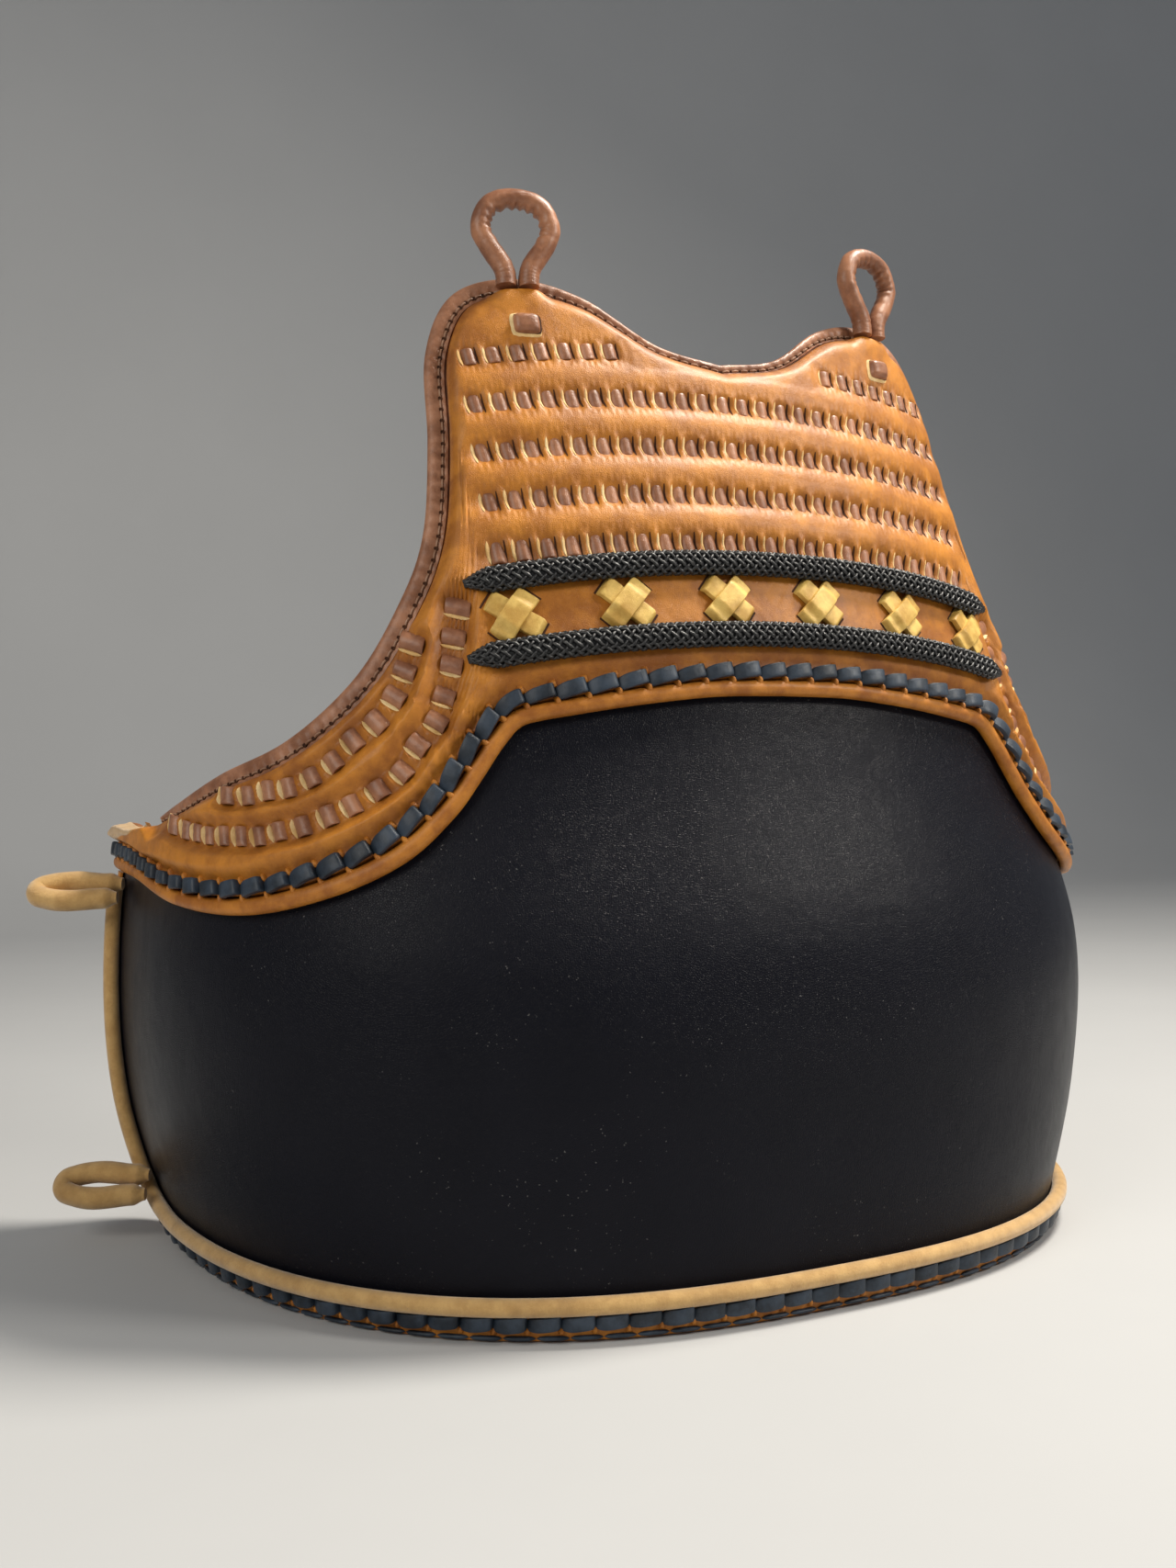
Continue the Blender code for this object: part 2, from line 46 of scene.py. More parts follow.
# The view. The camera stands low in front of the wearer's right, as the photograph's did, and the
# whole picture is 1280 wide and 1707 high.
PHOTO_HEIGHT = 1707
FOCAL_PIXELS = 1637.7
CAMERA_AT = (-0.3431, -0.6170, 0.2113)
YAW, PITCH, ROLL = 0.4543, -0.0076, -0.0102
ahead = Vector((math.sin(YAW) * math.cos(PITCH), math.cos(YAW) * math.cos(PITCH), math.sin(PITCH)))
flat_right = Vector((math.cos(YAW), -math.sin(YAW), 0.0))
flat_up = flat_right.cross(ahead)
right = math.cos(ROLL) * flat_right + math.sin(ROLL) * flat_up
up = math.cos(ROLL) * flat_up - math.sin(ROLL) * flat_right
camera = bpy.data.objects.new("camera", bpy.data.cameras.new("camera"))
camera.data.sensor_width = 36.0
camera.data.lens = 36.0 * FOCAL_PIXELS / PHOTO_HEIGHT
camera.matrix_world = Matrix(
    (
        (right.x, up.x, -ahead.x, CAMERA_AT[0]),
        (right.y, up.y, -ahead.y, CAMERA_AT[1]),
        (right.z, up.z, -ahead.z, CAMERA_AT[2]),
        (0.0, 0.0, 0.0, 1.0),
    )
)
scene.collection.objects.link(camera)
scene.camera = camera
scene.view_settings.view_transform = "Standard"
scene.view_settings.look = "None"

# Barrel shell. A hard moulded core under black grained leather, glossy with wax and a little
# dusty, with faint creases below the chest.
BACK_SHIFT = 0.0148
SQUARENESS = 2.53
# height, front, half_width, depth from the front to the widest line
BODY = (
    (0.000, -0.143, 0.2110, 0.232),
    (0.067, -0.145, 0.2295, 0.222),
    (0.134, -0.144, 0.2320, 0.217),
    (0.202, -0.121, 0.2205, 0.201),
    (0.269, -0.102, 0.2015, 0.169),
    (0.355, -0.073, 0.1840, 0.133),
    (0.442, -0.043, 0.1645, 0.098),
)
# edge_round, edge_height, top_round, top_height, from the centre front round to the back edge
SHELL_ROWS = (
    (0.0000, 0.0022, 0.0000, 0.2640),
    (0.0500, 0.0022, 0.0490, 0.2620),
    (0.1000, 0.0022, 0.0950, 0.2560),
    (0.1500, 0.0022, 0.1310, 0.2360),
    (0.2000, 0.0022, 0.1620, 0.2060),
    (0.2500, 0.0022, 0.2030, 0.1840),
    (0.2950, 0.0022, 0.2430, 0.1755),
    (0.3350, 0.0022, 0.2820, 0.1755),
    (0.3640, 0.0068, 0.3080, 0.1775),
    (0.3830, 0.0205, 0.3280, 0.1790),
    (0.3940, 0.0440, 0.3450, 0.1800),
    (0.4005, 0.0800, 0.3620, 0.1805),
    (0.4040, 0.1200, 0.3800, 0.1805),
    (0.4020, 0.1660, 0.3985, 0.1780),
)
SHELL_THICK = 0.0060


def curve(rows, at):
    """Smooth values between the rows, with the first column as the place of each row."""
    rows = np.asarray(rows, float)
    place, value = rows[:, 0], rows[:, 1:]
    slope = np.gradient(value, place, axis=0)
    at = np.asarray(at, float)
    k = np.clip(np.searchsorted(place, at) - 1, 0, len(place) - 2)
    span = (place[k + 1] - place[k])[:, None]
    t = ((at - place[k]) / span[:, 0])[:, None]
    a, b = value[k], value[k + 1]
    ends = (2 * t**3 - 3 * t**2 + 1) * a + (3 * t**2 - 2 * t**3) * b
    return ends + (t**3 - 2 * t**2 + t) * slope[k] * span + (t**3 - t**2) * slope[k + 1] * span


def along(rows, steps):
    """The rows of a table run smoothly through, at places counted in rows."""
    rows = np.asarray(rows, float)
    return curve(np.column_stack([np.arange(len(rows)), rows]), steps)


def mirrored(half):
    """A table of the right half run from the left end to the right end. Two columns are rounds."""
    half = np.asarray(half, float)
    left = np.array(half[:0:-1])
    for column in (0, 2):
        if column < half.shape[1]:
            left[:, column] *= -1
    return np.vstack([left, half])


# The skin is worked out once on a fine net of lengths round and heights
NET = 0.002
net_round = np.arange(-0.460, 0.4601, NET)
net_height = np.arange(-0.012, 0.4741, NET)
sweep = np.radians(np.linspace(-140.0, 140.0, 561))
front, half_width, depth = (column[:, None] for column in curve(BODY, net_height).T)
side = np.sign(np.sin(sweep)) * np.abs(np.sin(sweep)) ** (2.0 / SQUARENESS)
fore = np.sign(np.cos(sweep)) * np.abs(np.cos(sweep)) ** (2.0 / SQUARENESS)
section_x = half_width * side[None]
section_y = front + depth - depth * fore[None] + BACK_SHIFT
net = np.zeros((len(net_height), len(net_round), 3))
for row in range(len(net_height)):
    step = np.hypot(np.diff(section_x[row]), np.diff(section_y[row]))
    length = np.concatenate([[0.0], np.cumsum(step)])
    length -= length[len(sweep) // 2]
    net[row, :, 0] = np.interp(net_round, length, section_x[row])
    net[row, :, 1] = np.interp(net_round, length, section_y[row])
    net[row, :, 2] = net_height[row]
net_normal = np.cross(np.gradient(net, axis=1), np.gradient(net, axis=0))
net_normal /= np.maximum(np.linalg.norm(net_normal, axis=2), 1e-12)[:, :, None]


def skin(round_, height, out=0.0):
    """Points at a length round the body and a height, moved out along the normal."""
    given = [np.asarray(value, float) for value in (round_, height, out)]
    round_, height, out = np.broadcast_arrays(*given)
    c = np.clip((round_ - net_round[0]) / NET, 0, len(net_round) - 1.001)
    r = np.clip((height - net_height[0]) / NET, 0, len(net_height) - 1.001)
    c0, r0 = c.astype(int), r.astype(int)
    c1, r1 = (c - c0)[..., None], (r - r0)[..., None]

    def between(grid):
        low = grid[r0, c0] * (1 - c1) + grid[r0, c0 + 1] * c1
        high = grid[r0 + 1, c0] * (1 - c1) + grid[r0 + 1, c0 + 1] * c1
        return low * (1 - r1) + high * r1

    normal = between(net_normal)
    normal /= np.linalg.norm(normal, axis=-1)[..., None]
    return between(net) + out[..., None] * normal


def slab(outer, inner):
    """Points and faces of a wall between two nets of points."""
    rows, cols = outer.shape[:2]
    base = rows * cols
    r, c = np.meshgrid(np.arange(rows - 1), np.arange(cols - 1), indexing="ij")
    a = (r * cols + c).ravel()
    top = np.column_stack([a, a + 1, a + cols + 1, a + cols])
    low = top[:, ::-1] + base
    rim = np.concatenate(
        [
            np.arange(rows) * cols,
            (rows - 1) * cols + np.arange(1, cols),
            np.arange(rows - 2, -1, -1) * cols + cols - 1,
            np.arange(cols - 2, 0, -1),
        ]
    )
    after = np.roll(rim, -1)
    wall = np.column_stack([rim, after, after + base, rim + base])
    return np.vstack([outer.reshape(-1, 3), inner.reshape(-1, 3)]), np.vstack([top, low, wall])


def layer(round_, height, top, low):
    """A slab that follows the skin of the body, from one distance out to another."""
    return slab(skin(round_, height, top), skin(round_, height, low))


def rod(rings):
    """Points and faces of rings joined in a row, with a closed fan at each end."""
    rings = np.asarray(rings, float)
    count, sides = rings.shape[:2]
    r, c = np.meshgrid(np.arange(count - 1), np.arange(sides), indexing="ij")
    a, b = (r * sides + c).ravel(), (r * sides + (c + 1) % sides).ravel()
    skin_faces = np.column_stack([a, b, b + sides, a + sides])
    first, last = count * sides, count * sides + 1
    c = np.arange(sides)
    d = (c + 1) % sides
    start = np.column_stack([np.full(sides, first), d, c, c])
    c, d = c + (count - 1) * sides, d + (count - 1) * sides
    end = np.column_stack([np.full(sides, last), c, d, d])
    points = np.vstack([rings.reshape(-1, 3), rings[0].mean(0), rings[-1].mean(0)])
    return points, np.vstack([skin_faces, start, end])


def piece(name, shapes, finish, stands_for=(), sharp=40.0):
    """One mesh of several closed shapes, riding on the body, with its finish."""
    points, faces, base = [], [], 0
    for shape_points, shape_faces in shapes:
        points.append(shape_points)
        faces.append(shape_faces + base)
        base += len(shape_points)
    points, faces = np.vstack(points), np.vstack(faces)
    a, b, c, d = (points[faces[:, corner]] for corner in range(4))
    volume = np.sum(a * np.cross(b, c)) + np.sum(a * np.cross(c, d))
    if volume < 0:
        faces = faces[:, ::-1]
    mesh = bpy.data.meshes.new(name)
    mesh.from_pydata(points.tolist(), [], [list(dict.fromkeys(face)) for face in faces.tolist()])
    mesh.update()
    mesh.shade_smooth()
    mesh.set_sharp_from_angle(angle=math.radians(sharp))
    mesh.materials.append(finish)
    made = bpy.data.objects.new(name, mesh)
    scene.collection.objects.link(made)
    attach(made, "root")
    if stands_for:
        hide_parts(*stands_for)
    return made


class Amount:
    """A number that changes over a surface, which can be used in sums."""

    def __init__(self, finish, socket):
        self.finish = finish
        self.socket = socket

    def worked(self, operation, first, second):
        return self.finish.add("ShaderNodeMath", {"operation": operation}, {0: first, 1: second})

    def __add__(self, other):
        return self.worked("ADD", self, other)

    def __radd__(self, other):
        return self.worked("ADD", other, self)

    def __sub__(self, other):
        return self.worked("SUBTRACT", self, other)

    def __mul__(self, other):
        return self.worked("MULTIPLY", self, other)

    def between(self, low, high):
        """0 below low, 1 above high, and smooth between them."""
        return self.finish.add(
            "ShaderNodeMapRange",
            {"interpolation_type": "SMOOTHSTEP"},
            {"Value": self, "From Min": low, "From Max": high},
        )


class Finish:
    """A material built from nodes, with its own shader and the place on the piece in metres."""

    def __init__(self, name):
        self.material = bpy.data.materials.new(name)
        self.material.use_nodes = True
        self.tree = self.material.node_tree
        self.shader = self.tree.nodes["Principled BSDF"]
        self.place = self.add("ShaderNodeTexCoord", {}, {}, "Object")

    def add(self, kind, settings, values, result=0):
        node = self.tree.nodes.new(kind)
        for key, value in settings.items():
            setattr(node, key, value)
        for key, value in values.items():
            self.give(node.inputs[key], value)
        return Amount(self, node.outputs[result])

    def give(self, socket, value):
        if isinstance(value, Amount):
            self.tree.links.new(value.socket, socket)
        elif isinstance(value, tuple) and len(value) == 3 and socket.type == "RGBA":
            socket.default_value = (*value, 1.0)
        else:
            socket.default_value = value

    def specks(self, size, detail=2.0, rough=0.5):
        """Soft random patches of about that size in metres, from 0 to 1."""
        return self.add(
            "ShaderNodeTexNoise",
            {},
            {"Vector": self.place, "Scale": 1.0 / size, "Detail": detail, "Roughness": rough},
        )

    def cells(self, size):
        """Distance to the edges of random cells of about that size, as in leather grain."""
        settings = {"feature": "DISTANCE_TO_EDGE"}
        return self.add("ShaderNodeTexVoronoi", settings, {"Vector": self.place, "Scale": 1.0 / size})

    def tint(self, share, first, second):
        """From the first colour at share 0 to the second at share 1."""
        node = self.tree.nodes.new("ShaderNodeMix")
        node.data_type = "RGBA"
        self.give(node.inputs["Factor"], share)
        for socket, colour in zip([s for s in node.inputs if s.type == "RGBA"], (first, second)):
            self.give(socket, colour)
        return Amount(self, [s for s in node.outputs if s.type == "RGBA"][0])

    def relief(self, height, depth, under=None):
        """A bump of that depth in metres from a height between 0 and 1."""
        values = {"Height": height, "Distance": depth, "Strength": 1.0}
        if under is not None:
            values["Normal"] = under
        return self.add("ShaderNodeBump", {}, values)

    def set(self, **values):
        for key, value in values.items():
            self.give(self.shader.inputs[key.replace("_", " ").title().replace("Ior", "IOR")], value)


black = Finish("black_leather_finish")
grain = black.cells(0.00085).between(0.0, 0.22)
pores = black.specks(0.0004, 3.0, 0.6)
dents = black.specks(0.020, 3.0, 0.55)
dust = black.specks(0.0011, 1.0).between(0.735, 0.760) * black.specks(0.035).between(0.46, 0.62)
soft = black.relief(dents, 0.0006)
fine = black.relief(grain * 0.75 + pores * 0.25, 0.00009, soft)
black.set(
    base_color=black.tint(
        dust * 0.30,
        black.tint(black.specks(0.030), (0.0036, 0.0039, 0.0070), (0.0064, 0.0067, 0.0110)),
        (0.33, 0.32, 0.31),
    ),
    roughness=0.30 + black.specks(0.012, 4.0) * 0.12 - grain * 0.04,
    normal=fine,
    specular_ior_level=0.11,
)
columns = mirrored(along(SHELL_ROWS, np.linspace(0, len(SHELL_ROWS) - 1, 131)))
share = np.linspace(0, 1, 71)[:, None]
shell_round = columns[:, 0] * (1 - share) + columns[:, 2] * share
shell_height = columns[:, 1] * (1 - share) + columns[:, 3] * share
shell_wall = layer(shell_round, shell_height, 0.0, -SHELL_THICK)
piece("shell_skin", [shell_wall], black.material, ["shell"])

# Edge band. Tan leather is folded over the base and the back edges of the shell and held there by
# the lacing.
BAND_THICK = 0.0016
BAND_SEAM = 0.0009
BAND_LEG = 0.0084
# aside_edge: how far up from the shell's edge, out: how far from its skin, outer face then inner
BAND_PROFILE = (
    (-0.0010, -SHELL_THICK - BAND_SEAM - BAND_THICK),
    (-0.0022, -SHELL_THICK),
    (-0.0025, -0.0030),
    (-0.0022, 0.0008),
    (-0.0012, BAND_SEAM + BAND_THICK - 0.0002),
    (0.0020, BAND_SEAM + BAND_THICK),
    (BAND_LEG - 0.0006, BAND_SEAM + BAND_THICK),
    (BAND_LEG, BAND_SEAM + BAND_THICK - 0.0006),
    (BAND_LEG, BAND_SEAM),
    (-0.0008, BAND_SEAM),
    (-0.0008, -SHELL_THICK - BAND_SEAM),
    (BAND_LEG, -SHELL_THICK - BAND_SEAM),
    (BAND_LEG, -SHELL_THICK - BAND_SEAM - BAND_THICK),
)


def lengths(path):
    """How far along a path on the body each of its points is."""
    return np.concatenate([[0], np.cumsum(np.hypot(*np.diff(path, axis=0).T))])


def found(path, length, at):
    """The points of a path, or the ways beside it, at places along it."""
    return np.column_stack([np.interp(at, length, path[:, c]) for c in range(2)])


def even(path, pitch, skip=0.0):
    """A path of lengths round and heights at even steps, a little short of its ends."""
    length = lengths(path)
    count = max(3, int(round((length[-1] - 2 * skip) / pitch)) + 1)
    return found(path, length, np.linspace(skip, length[-1] - skip, count))


def leftwards(path):
    """The way to the left of a path at each of its points."""
    run = np.gradient(path, axis=0)
    run /= np.linalg.norm(run, axis=1)[:, None]
    return np.column_stack([-run[:, 1], run[:, 0]])


def aside(path, distance):
    """A path moved sideways on the body, to its left as it runs."""
    return path + np.reshape(distance, (-1, 1)) * leftwards(path)


def laid(path, profile):
    """Rings of a profile of (aside, out) laid along a path on the body."""
    profile = np.asarray(profile, float)
    if profile.ndim == 2:
        profile = np.broadcast_to(profile, (len(path),) + profile.shape)
    place = path[:, None, :] + profile[:, :, :1] * leftwards(path)[:, None, :]
    return skin(place[..., 0], place[..., 1], profile[..., 1])


def leather(name, deep, fair, rough, grain_size, grain_depth, rub=None, gloss=0.10):
    """Smooth dyed leather: patches of tone, fine grain, and painted light and shade from an optional
    attribute, fairer where it is high and deeper where it is low.
    """
    made = Finish(name)
    tone = made.specks(0.014, 6.0, 0.65).between(0.34, 0.68)
    # Painted light and shade: the attribute makes the colour fairer where it is high and deeper where it is
    # low
    if rub:
        relief_shading_amount = made.add("ShaderNodeAttribute", {"attribute_name": rub}, {}, "Fac")
        tone = tone * 0.62 + relief_shading_amount * 0.50 - 0.06
    grain = made.cells(grain_size).between(0.0, 0.25)
    hair = made.specks(grain_size * 0.5, 4.0, 0.7)
    under = made.relief(made.specks(0.0045, 6.0, 0.62), 0.00030)
    made.set(
        base_color=made.tint(tone + hair * 0.36 - 0.18, deep, fair),
        roughness=rough + made.specks(0.003, 4.0, 0.7) * 0.22 - grain * 0.05,
        normal=made.relief(grain * 0.5 + hair * 0.5, grain_depth, under),
        coat_weight=gloss,
        coat_roughness=0.30,
        specular_ior_level=0.32,
    )
    return made.material


tan = leather("tan_leather_finish", (0.300, 0.094, 0.009), (0.530, 0.200, 0.024), 0.40, 0.0007, 0.00008)
shell_edge = mirrored(along([row[:2] for row in SHELL_ROWS], np.linspace(0, len(SHELL_ROWS) - 1, 241)))
band = laid(even(shell_edge, 0.0040), BAND_PROFILE)
band[:, :, 2] = np.maximum(band[:, :, 2], 0.0)
piece("edge_band_leather", [rod(band)], tan, ["edge_band"])

# Edge roll. A round welt of napped suede runs along the band's upper side, from one back edge
# round the base to the other.
ROLL_RADIUS = 0.0035
ROLL_INSET = 0.0125
ROLL_TOP = 0.1635
SEAM = 0.0005
# It is matt, with a short pile that takes the light in cloudy patches
suede = Finish("suede_finish")
nap = suede.specks(0.0011, 6.0, 0.75)
cloud = suede.specks(0.007, 4.0, 0.6).between(0.30, 0.70)
soil = suede.specks(0.022, 3.0).between(0.50, 0.78)
clean = suede.tint(cloud * 0.5 + nap * 0.5, (0.400, 0.220, 0.064), (0.660, 0.415, 0.158))
suede.set(
    base_color=suede.tint(soil * 0.45, clean, (0.21, 0.105, 0.035)),
    roughness=0.86 + nap * 0.10,
    normal=suede.relief(nap, 0.00035),
    sheen_weight=0.45,
    sheen_roughness=0.5,
)
ROUND_SIDES = 18


def turns(sides):
    """Even angles once round."""
    return np.linspace(0, 2 * math.pi, sides, endpoint=False)


def strand(wide, high, out, sides):
    """Oval profiles for laid, of half widths and half heights, at distances out."""
    wide, high, out = np.broadcast_arrays(wide, high, out)
    return np.stack(
        [np.column_stack([wide * math.cos(a), out + high * math.sin(a)]) for a in turns(sides)], axis=1
    )


def welt(path, radius, seam):
    """Rings of a round welt that lies on the shell."""
    return laid(path, strand([radius], [radius], [seam + radius], ROUND_SIDES)[0])


roll_line = even(aside(shell_edge, ROLL_INSET), 0.0025, 0.002)
roll_line = roll_line[roll_line[:, 1] < ROLL_TOP]
piece("edge_roll_suede", [rod(welt(roll_line, ROLL_RADIUS, SEAM))], suede.material, ["edge_roll"])

# Lacing. A flat indigo leather strap is laced through holes. Each stitch comes up from under the
# one before it, rises, and goes down steeply at its end. The leather shows as a small pale lip
# where two stitches meet.
LACE_PITCH = 0.0124
LACE_WIDTH = 0.0056
LACE_THICK = 0.0015
LACE_PROUD = 0.0032
LACE_TILT = 0.0008
LACE_BASE = 0.0064
# The lips: half their length and width, how far aside they are, and what they rise, sink and root
LIP_ALONG = 0.0013
LIP_ACROSS = 0.0019
LIP_ASIDE = 0.0033
LIP_RISE = 0.0022
LIP_SUNK = 0.0012
LIP_ROOT = 0.0020
# place along the stitch, height as a share, width as a share
LACE_ARCH = (
    (-0.05, -0.10, 0.55),
    (0.03, 0.14, 0.76),
    (0.14, 0.42, 0.92),
    (0.30, 0.74, 1.00),
    (0.50, 0.95, 1.00),
    (0.70, 1.00, 1.00),
    (0.86, 0.95, 0.99),
    (0.95, 0.78, 0.95),
    (0.99, 0.48, 0.90),
    (1.01, 0.05, 0.84),
)
indigo = leather(
    "indigo_strap_finish", (0.0075, 0.0125, 0.0200), (0.034, 0.050, 0.074), 0.36, 0.0005, 0.00006, gloss=0.12
)
across_share = np.array([-1.0, -0.95, -0.80, -0.4, 0.0, 0.4, 0.80, 0.95, 1.0])
across_drop = np.array([0.00065, 0.00025, 0.00006, 0.0, 0.0, 0.0, 0.00006, 0.00025, 0.00065])


def laced(line, base):
    """The stitches of a strap laced along a line at a height over the skin, and their lips."""
    length = lengths(line)
    count = int(length[-1] // LACE_PITCH)
    start = 0.5 * (length[-1] - count * LACE_PITCH)
    left = leftwards(line)
    shapes, lips = [], []
    place = np.concatenate([np.linspace(-0.05, 0.86, 13), [0.91, 0.95, 0.98, 1.0, 1.01]])
    arch = curve(LACE_ARCH, place)
    a, b = np.meshgrid(np.linspace(-1, 1, 7), np.linspace(-1, 1, 7))
    lip_top = base - LIP_SUNK + LIP_RISE * np.sqrt((1 - a**2) * (1 - b**2))
    for stitch in range(count):
        swell = 1.0 + 0.05 * math.sin(2.3 * stitch) + 0.04 * math.sin(5.1 * stitch + 1.0)
        at = start + (stitch + place) * LACE_PITCH
        mid, over = found(line, length, at), found(left, length, at)
        half = 0.5 * LACE_WIDTH * arch[:, 1] * swell
        tilt = LACE_TILT * (2 * place - 1)
        aside_by = tilt[:, None] + across_share[None] * half[:, None]
        spot = mid[:, None] + aside_by[..., None] * over[:, None]
        high = base + LACE_PROUD * arch[:, 0] * swell
        top = high[:, None] - across_drop[None]
        shapes.append(layer(spot[..., 0], spot[..., 1], top, top - LACE_THICK))
        at = [start + (stitch + 1.02) * LACE_PITCH]
        mid, over = found(line, length, at)[0], found(left, length, at)[0]
        way = np.array([over[1], -over[0]])
        for side in (-LIP_ASIDE, LIP_ASIDE):
            spot = mid + LIP_ALONG * a[..., None] * way + (LIP_ACROSS * b + side)[..., None] * over
            lips.append(layer(spot[..., 0], spot[..., 1], lip_top, base - LIP_ROOT))
    return shapes, lips


edge_lace = even(aside(shell_edge, 0.0062), 0.002, 0.002)
edge_lace = edge_lace[edge_lace[:, 1] < ROLL_TOP]
edge_stitches, edge_lips = laced(edge_lace, BAND_SEAM + BAND_THICK + 0.0006)
piece("edge_lacing_strap", edge_stitches, indigo, ["edge_lacing"])
piece("edge_lacing_lips", edge_lips, tan)

# The strap's turns round the base edge show as a dark scalloped line at the floor
TURN_THICK = 0.0009
TURN_OUT = 0.0027
under_line = even(shell_edge, 0.002, 0.002)
under_line = under_line[under_line[:, 1] < 0.02]
under_length = lengths(under_line)
run = np.linspace(-1, 1, 11)
swell = TURN_THICK * np.sqrt(np.clip(1.02 - run**4, 0, 1))
turn_ring = strand(swell, 1.3 * swell, TURN_OUT, ROUND_SIDES)
scallops = []
for middle in np.arange(LACE_PITCH, under_length[-1] - LACE_PITCH, LACE_PITCH):
    place = found(under_line, under_length, middle + 0.48 * LACE_PITCH * run)
    scallops.append(rod(laid(place, turn_ring)))
piece("edge_lacing_turns", scallops, indigo)

# Chest plate. Two skins of tan cowhide over felt, quilted in rows by brown straps, so that it
# swells between the rows, and padded round wings that reach the back edges.
PLATE_SEAM = 0.0008
PLATE_GROOVE = 0.0050
PLATE_RIB = 0.0090
PLATE_EDGE = 0.0046
PLATE_SHOULDER = 0.0094
# lace_round, lace_height, rim_round, rim_height, binding_width
PLATE_ROWS = (
    (0.0000, 0.2500, 0.0000, 0.3885, 0.0046),
    (0.0320, 0.2493, 0.0300, 0.3945, 0.0046),
    (0.0640, 0.2460, 0.0600, 0.4135, 0.0062),
    (0.0900, 0.2422, 0.0890, 0.4205, 0.0084),
    (0.1110, 0.2385, 0.1160, 0.4120, 0.0086),
    (0.1195, 0.2345, 0.1305, 0.3850, 0.0086),
    (0.1245, 0.2295, 0.1346, 0.3450, 0.0086),
    (0.1300, 0.2230, 0.1416, 0.3060, 0.0086),
    (0.1375, 0.2130, 0.1548, 0.2780, 0.0086),
    (0.1485, 0.2000, 0.1770, 0.2480, 0.0086),
    (0.1680, 0.1845, 0.2100, 0.2245, 0.0084),
    (0.1980, 0.1725, 0.2500, 0.2115, 0.0078),
    (0.2360, 0.1655, 0.2880, 0.1990, 0.0058),
    (0.2800, 0.1670, 0.3280, 0.1885, 0.0000),
    (0.3280, 0.1745, 0.3650, 0.1895, 0.0000),
    (0.3860, 0.1768, 0.3850, 0.1862, 0.0000),
)
ROW_BOW = 0.54
CORD_BOW = 0.70
ROW_HEIGHTS = (0.3660, 0.3449, 0.3238, 0.3030)
ROW_HALF = 0.1132
ROW_COUNT = 24
TOP_ROW = 0.3874
TOP_ROUNDS = (0.0540, 0.1130)
TOP_COUNT = 7
# height at the centre front, stand of the padding, which is 0 in a groove and 1 on a rib
RIBS = (
    (0.2400, 0.10),
    (0.2560, 0.30),
    (0.2640, 0.32),
    (0.2785, 0.38),
    (0.2935, 0.32),
    (0.2985, 0.26),
    (0.3030, 0.00),
    (0.3078, 0.62),
    (0.3134, 0.92),
    (0.3190, 0.62),
    (0.3238, 0.00),
    (0.3288, 0.62),
    (0.3344, 0.92),
    (0.3400, 0.62),
    (0.3449, 0.00),
    (0.3498, 0.62),
    (0.3555, 0.92),
    (0.3612, 0.62),
    (0.3660, 0.00),
    (0.3708, 0.50),
    (0.3767, 0.72),
    (0.3825, 0.46),
    (0.3874, 0.10),
    (0.3920, 0.42),
    (0.3980, 0.62),
    (0.4300, 0.62),
)
# round, height of each stitch of the wing's inner and outer row
WING_INNER = (
    (0.131, 0.275), (0.134, 0.263), (0.136, 0.252), (0.140, 0.240), (0.144, 0.230), (0.152, 0.221),
    (0.159, 0.211), (0.169, 0.204), (0.180, 0.198), (0.190, 0.194), (0.202, 0.190), (0.213, 0.188),
    (0.223, 0.186), (0.233, 0.186), (0.243, 0.186), (0.252, 0.186), (0.261, 0.187), (0.270, 0.188),
    (0.281, 0.190),
)
WING_OUTER = (
    (0.150, 0.261), (0.154, 0.250), (0.159, 0.240), (0.167, 0.230), (0.177, 0.223), (0.186, 0.215),
    (0.196, 0.209), (0.207, 0.205), (0.217, 0.204), (0.228, 0.202), (0.240, 0.202),
)
STRAP_ALONG = 0.0028
STRAP_ACROSS = 0.0041
TOP_ACROSS = 0.0036
WING_ACROSS = (0.0046, 0.0037)
WING_SHARE = 0.29
STRAP_DIP = 0.0005
WING_FROM, WING_FULL = 0.114, 0.128
WING_SWELL = 0.0046
TIP_FROM, TIP_FULL = 0.290, 0.312
EDGE_RIDGE = 0.0007
PUFF_RISE = 0.00075
GATHER_PITCH = 0.0027
GATHER_CHEST, GATHER_WING = 0.00018, 0.00004
STITCH_REACH = 0.012

# Every stitch: round, height, direction of its row, half of what shows of the strap along the row
# and across it, half the way to its neighbours, side of its pale cut edge
stitches = []
half_pitch = ROW_HALF / (ROW_COUNT - 1)
for height in ROW_HEIGHTS:
    for s in np.linspace(-ROW_HALF, ROW_HALF, ROW_COUNT):
        slope = math.atan(-2 * ROW_BOW * s)
        stitches.append((s, height - ROW_BOW * s**2, slope, STRAP_ALONG, STRAP_ACROSS, half_pitch, -1))
for hand in (-1, 1):
    for s in hand * np.linspace(*TOP_ROUNDS, TOP_COUNT):
        slope = math.atan(-2 * ROW_BOW * s)
        stitches.append((s, TOP_ROW - ROW_BOW * s**2, slope, STRAP_ALONG, TOP_ACROSS, half_pitch, -1))
    for wing in (WING_INNER, WING_OUTER):
        wing_line = np.array(wing) * (hand, 1)
        run = np.gradient(wing_line, axis=0) * hand
        wide = np.interp(np.arange(len(wing)), (0, 5), WING_ACROSS)
        for (s, z), (run_s, run_z), half in zip(wing_line, run, wide):
            pitch = math.hypot(run_s, run_z)
            slope = math.atan2(run_z, run_s)
            stitches.append((s, z, slope, WING_SHARE * pitch, half, 0.5 * pitch, hand))
stitches = np.array(stitches)


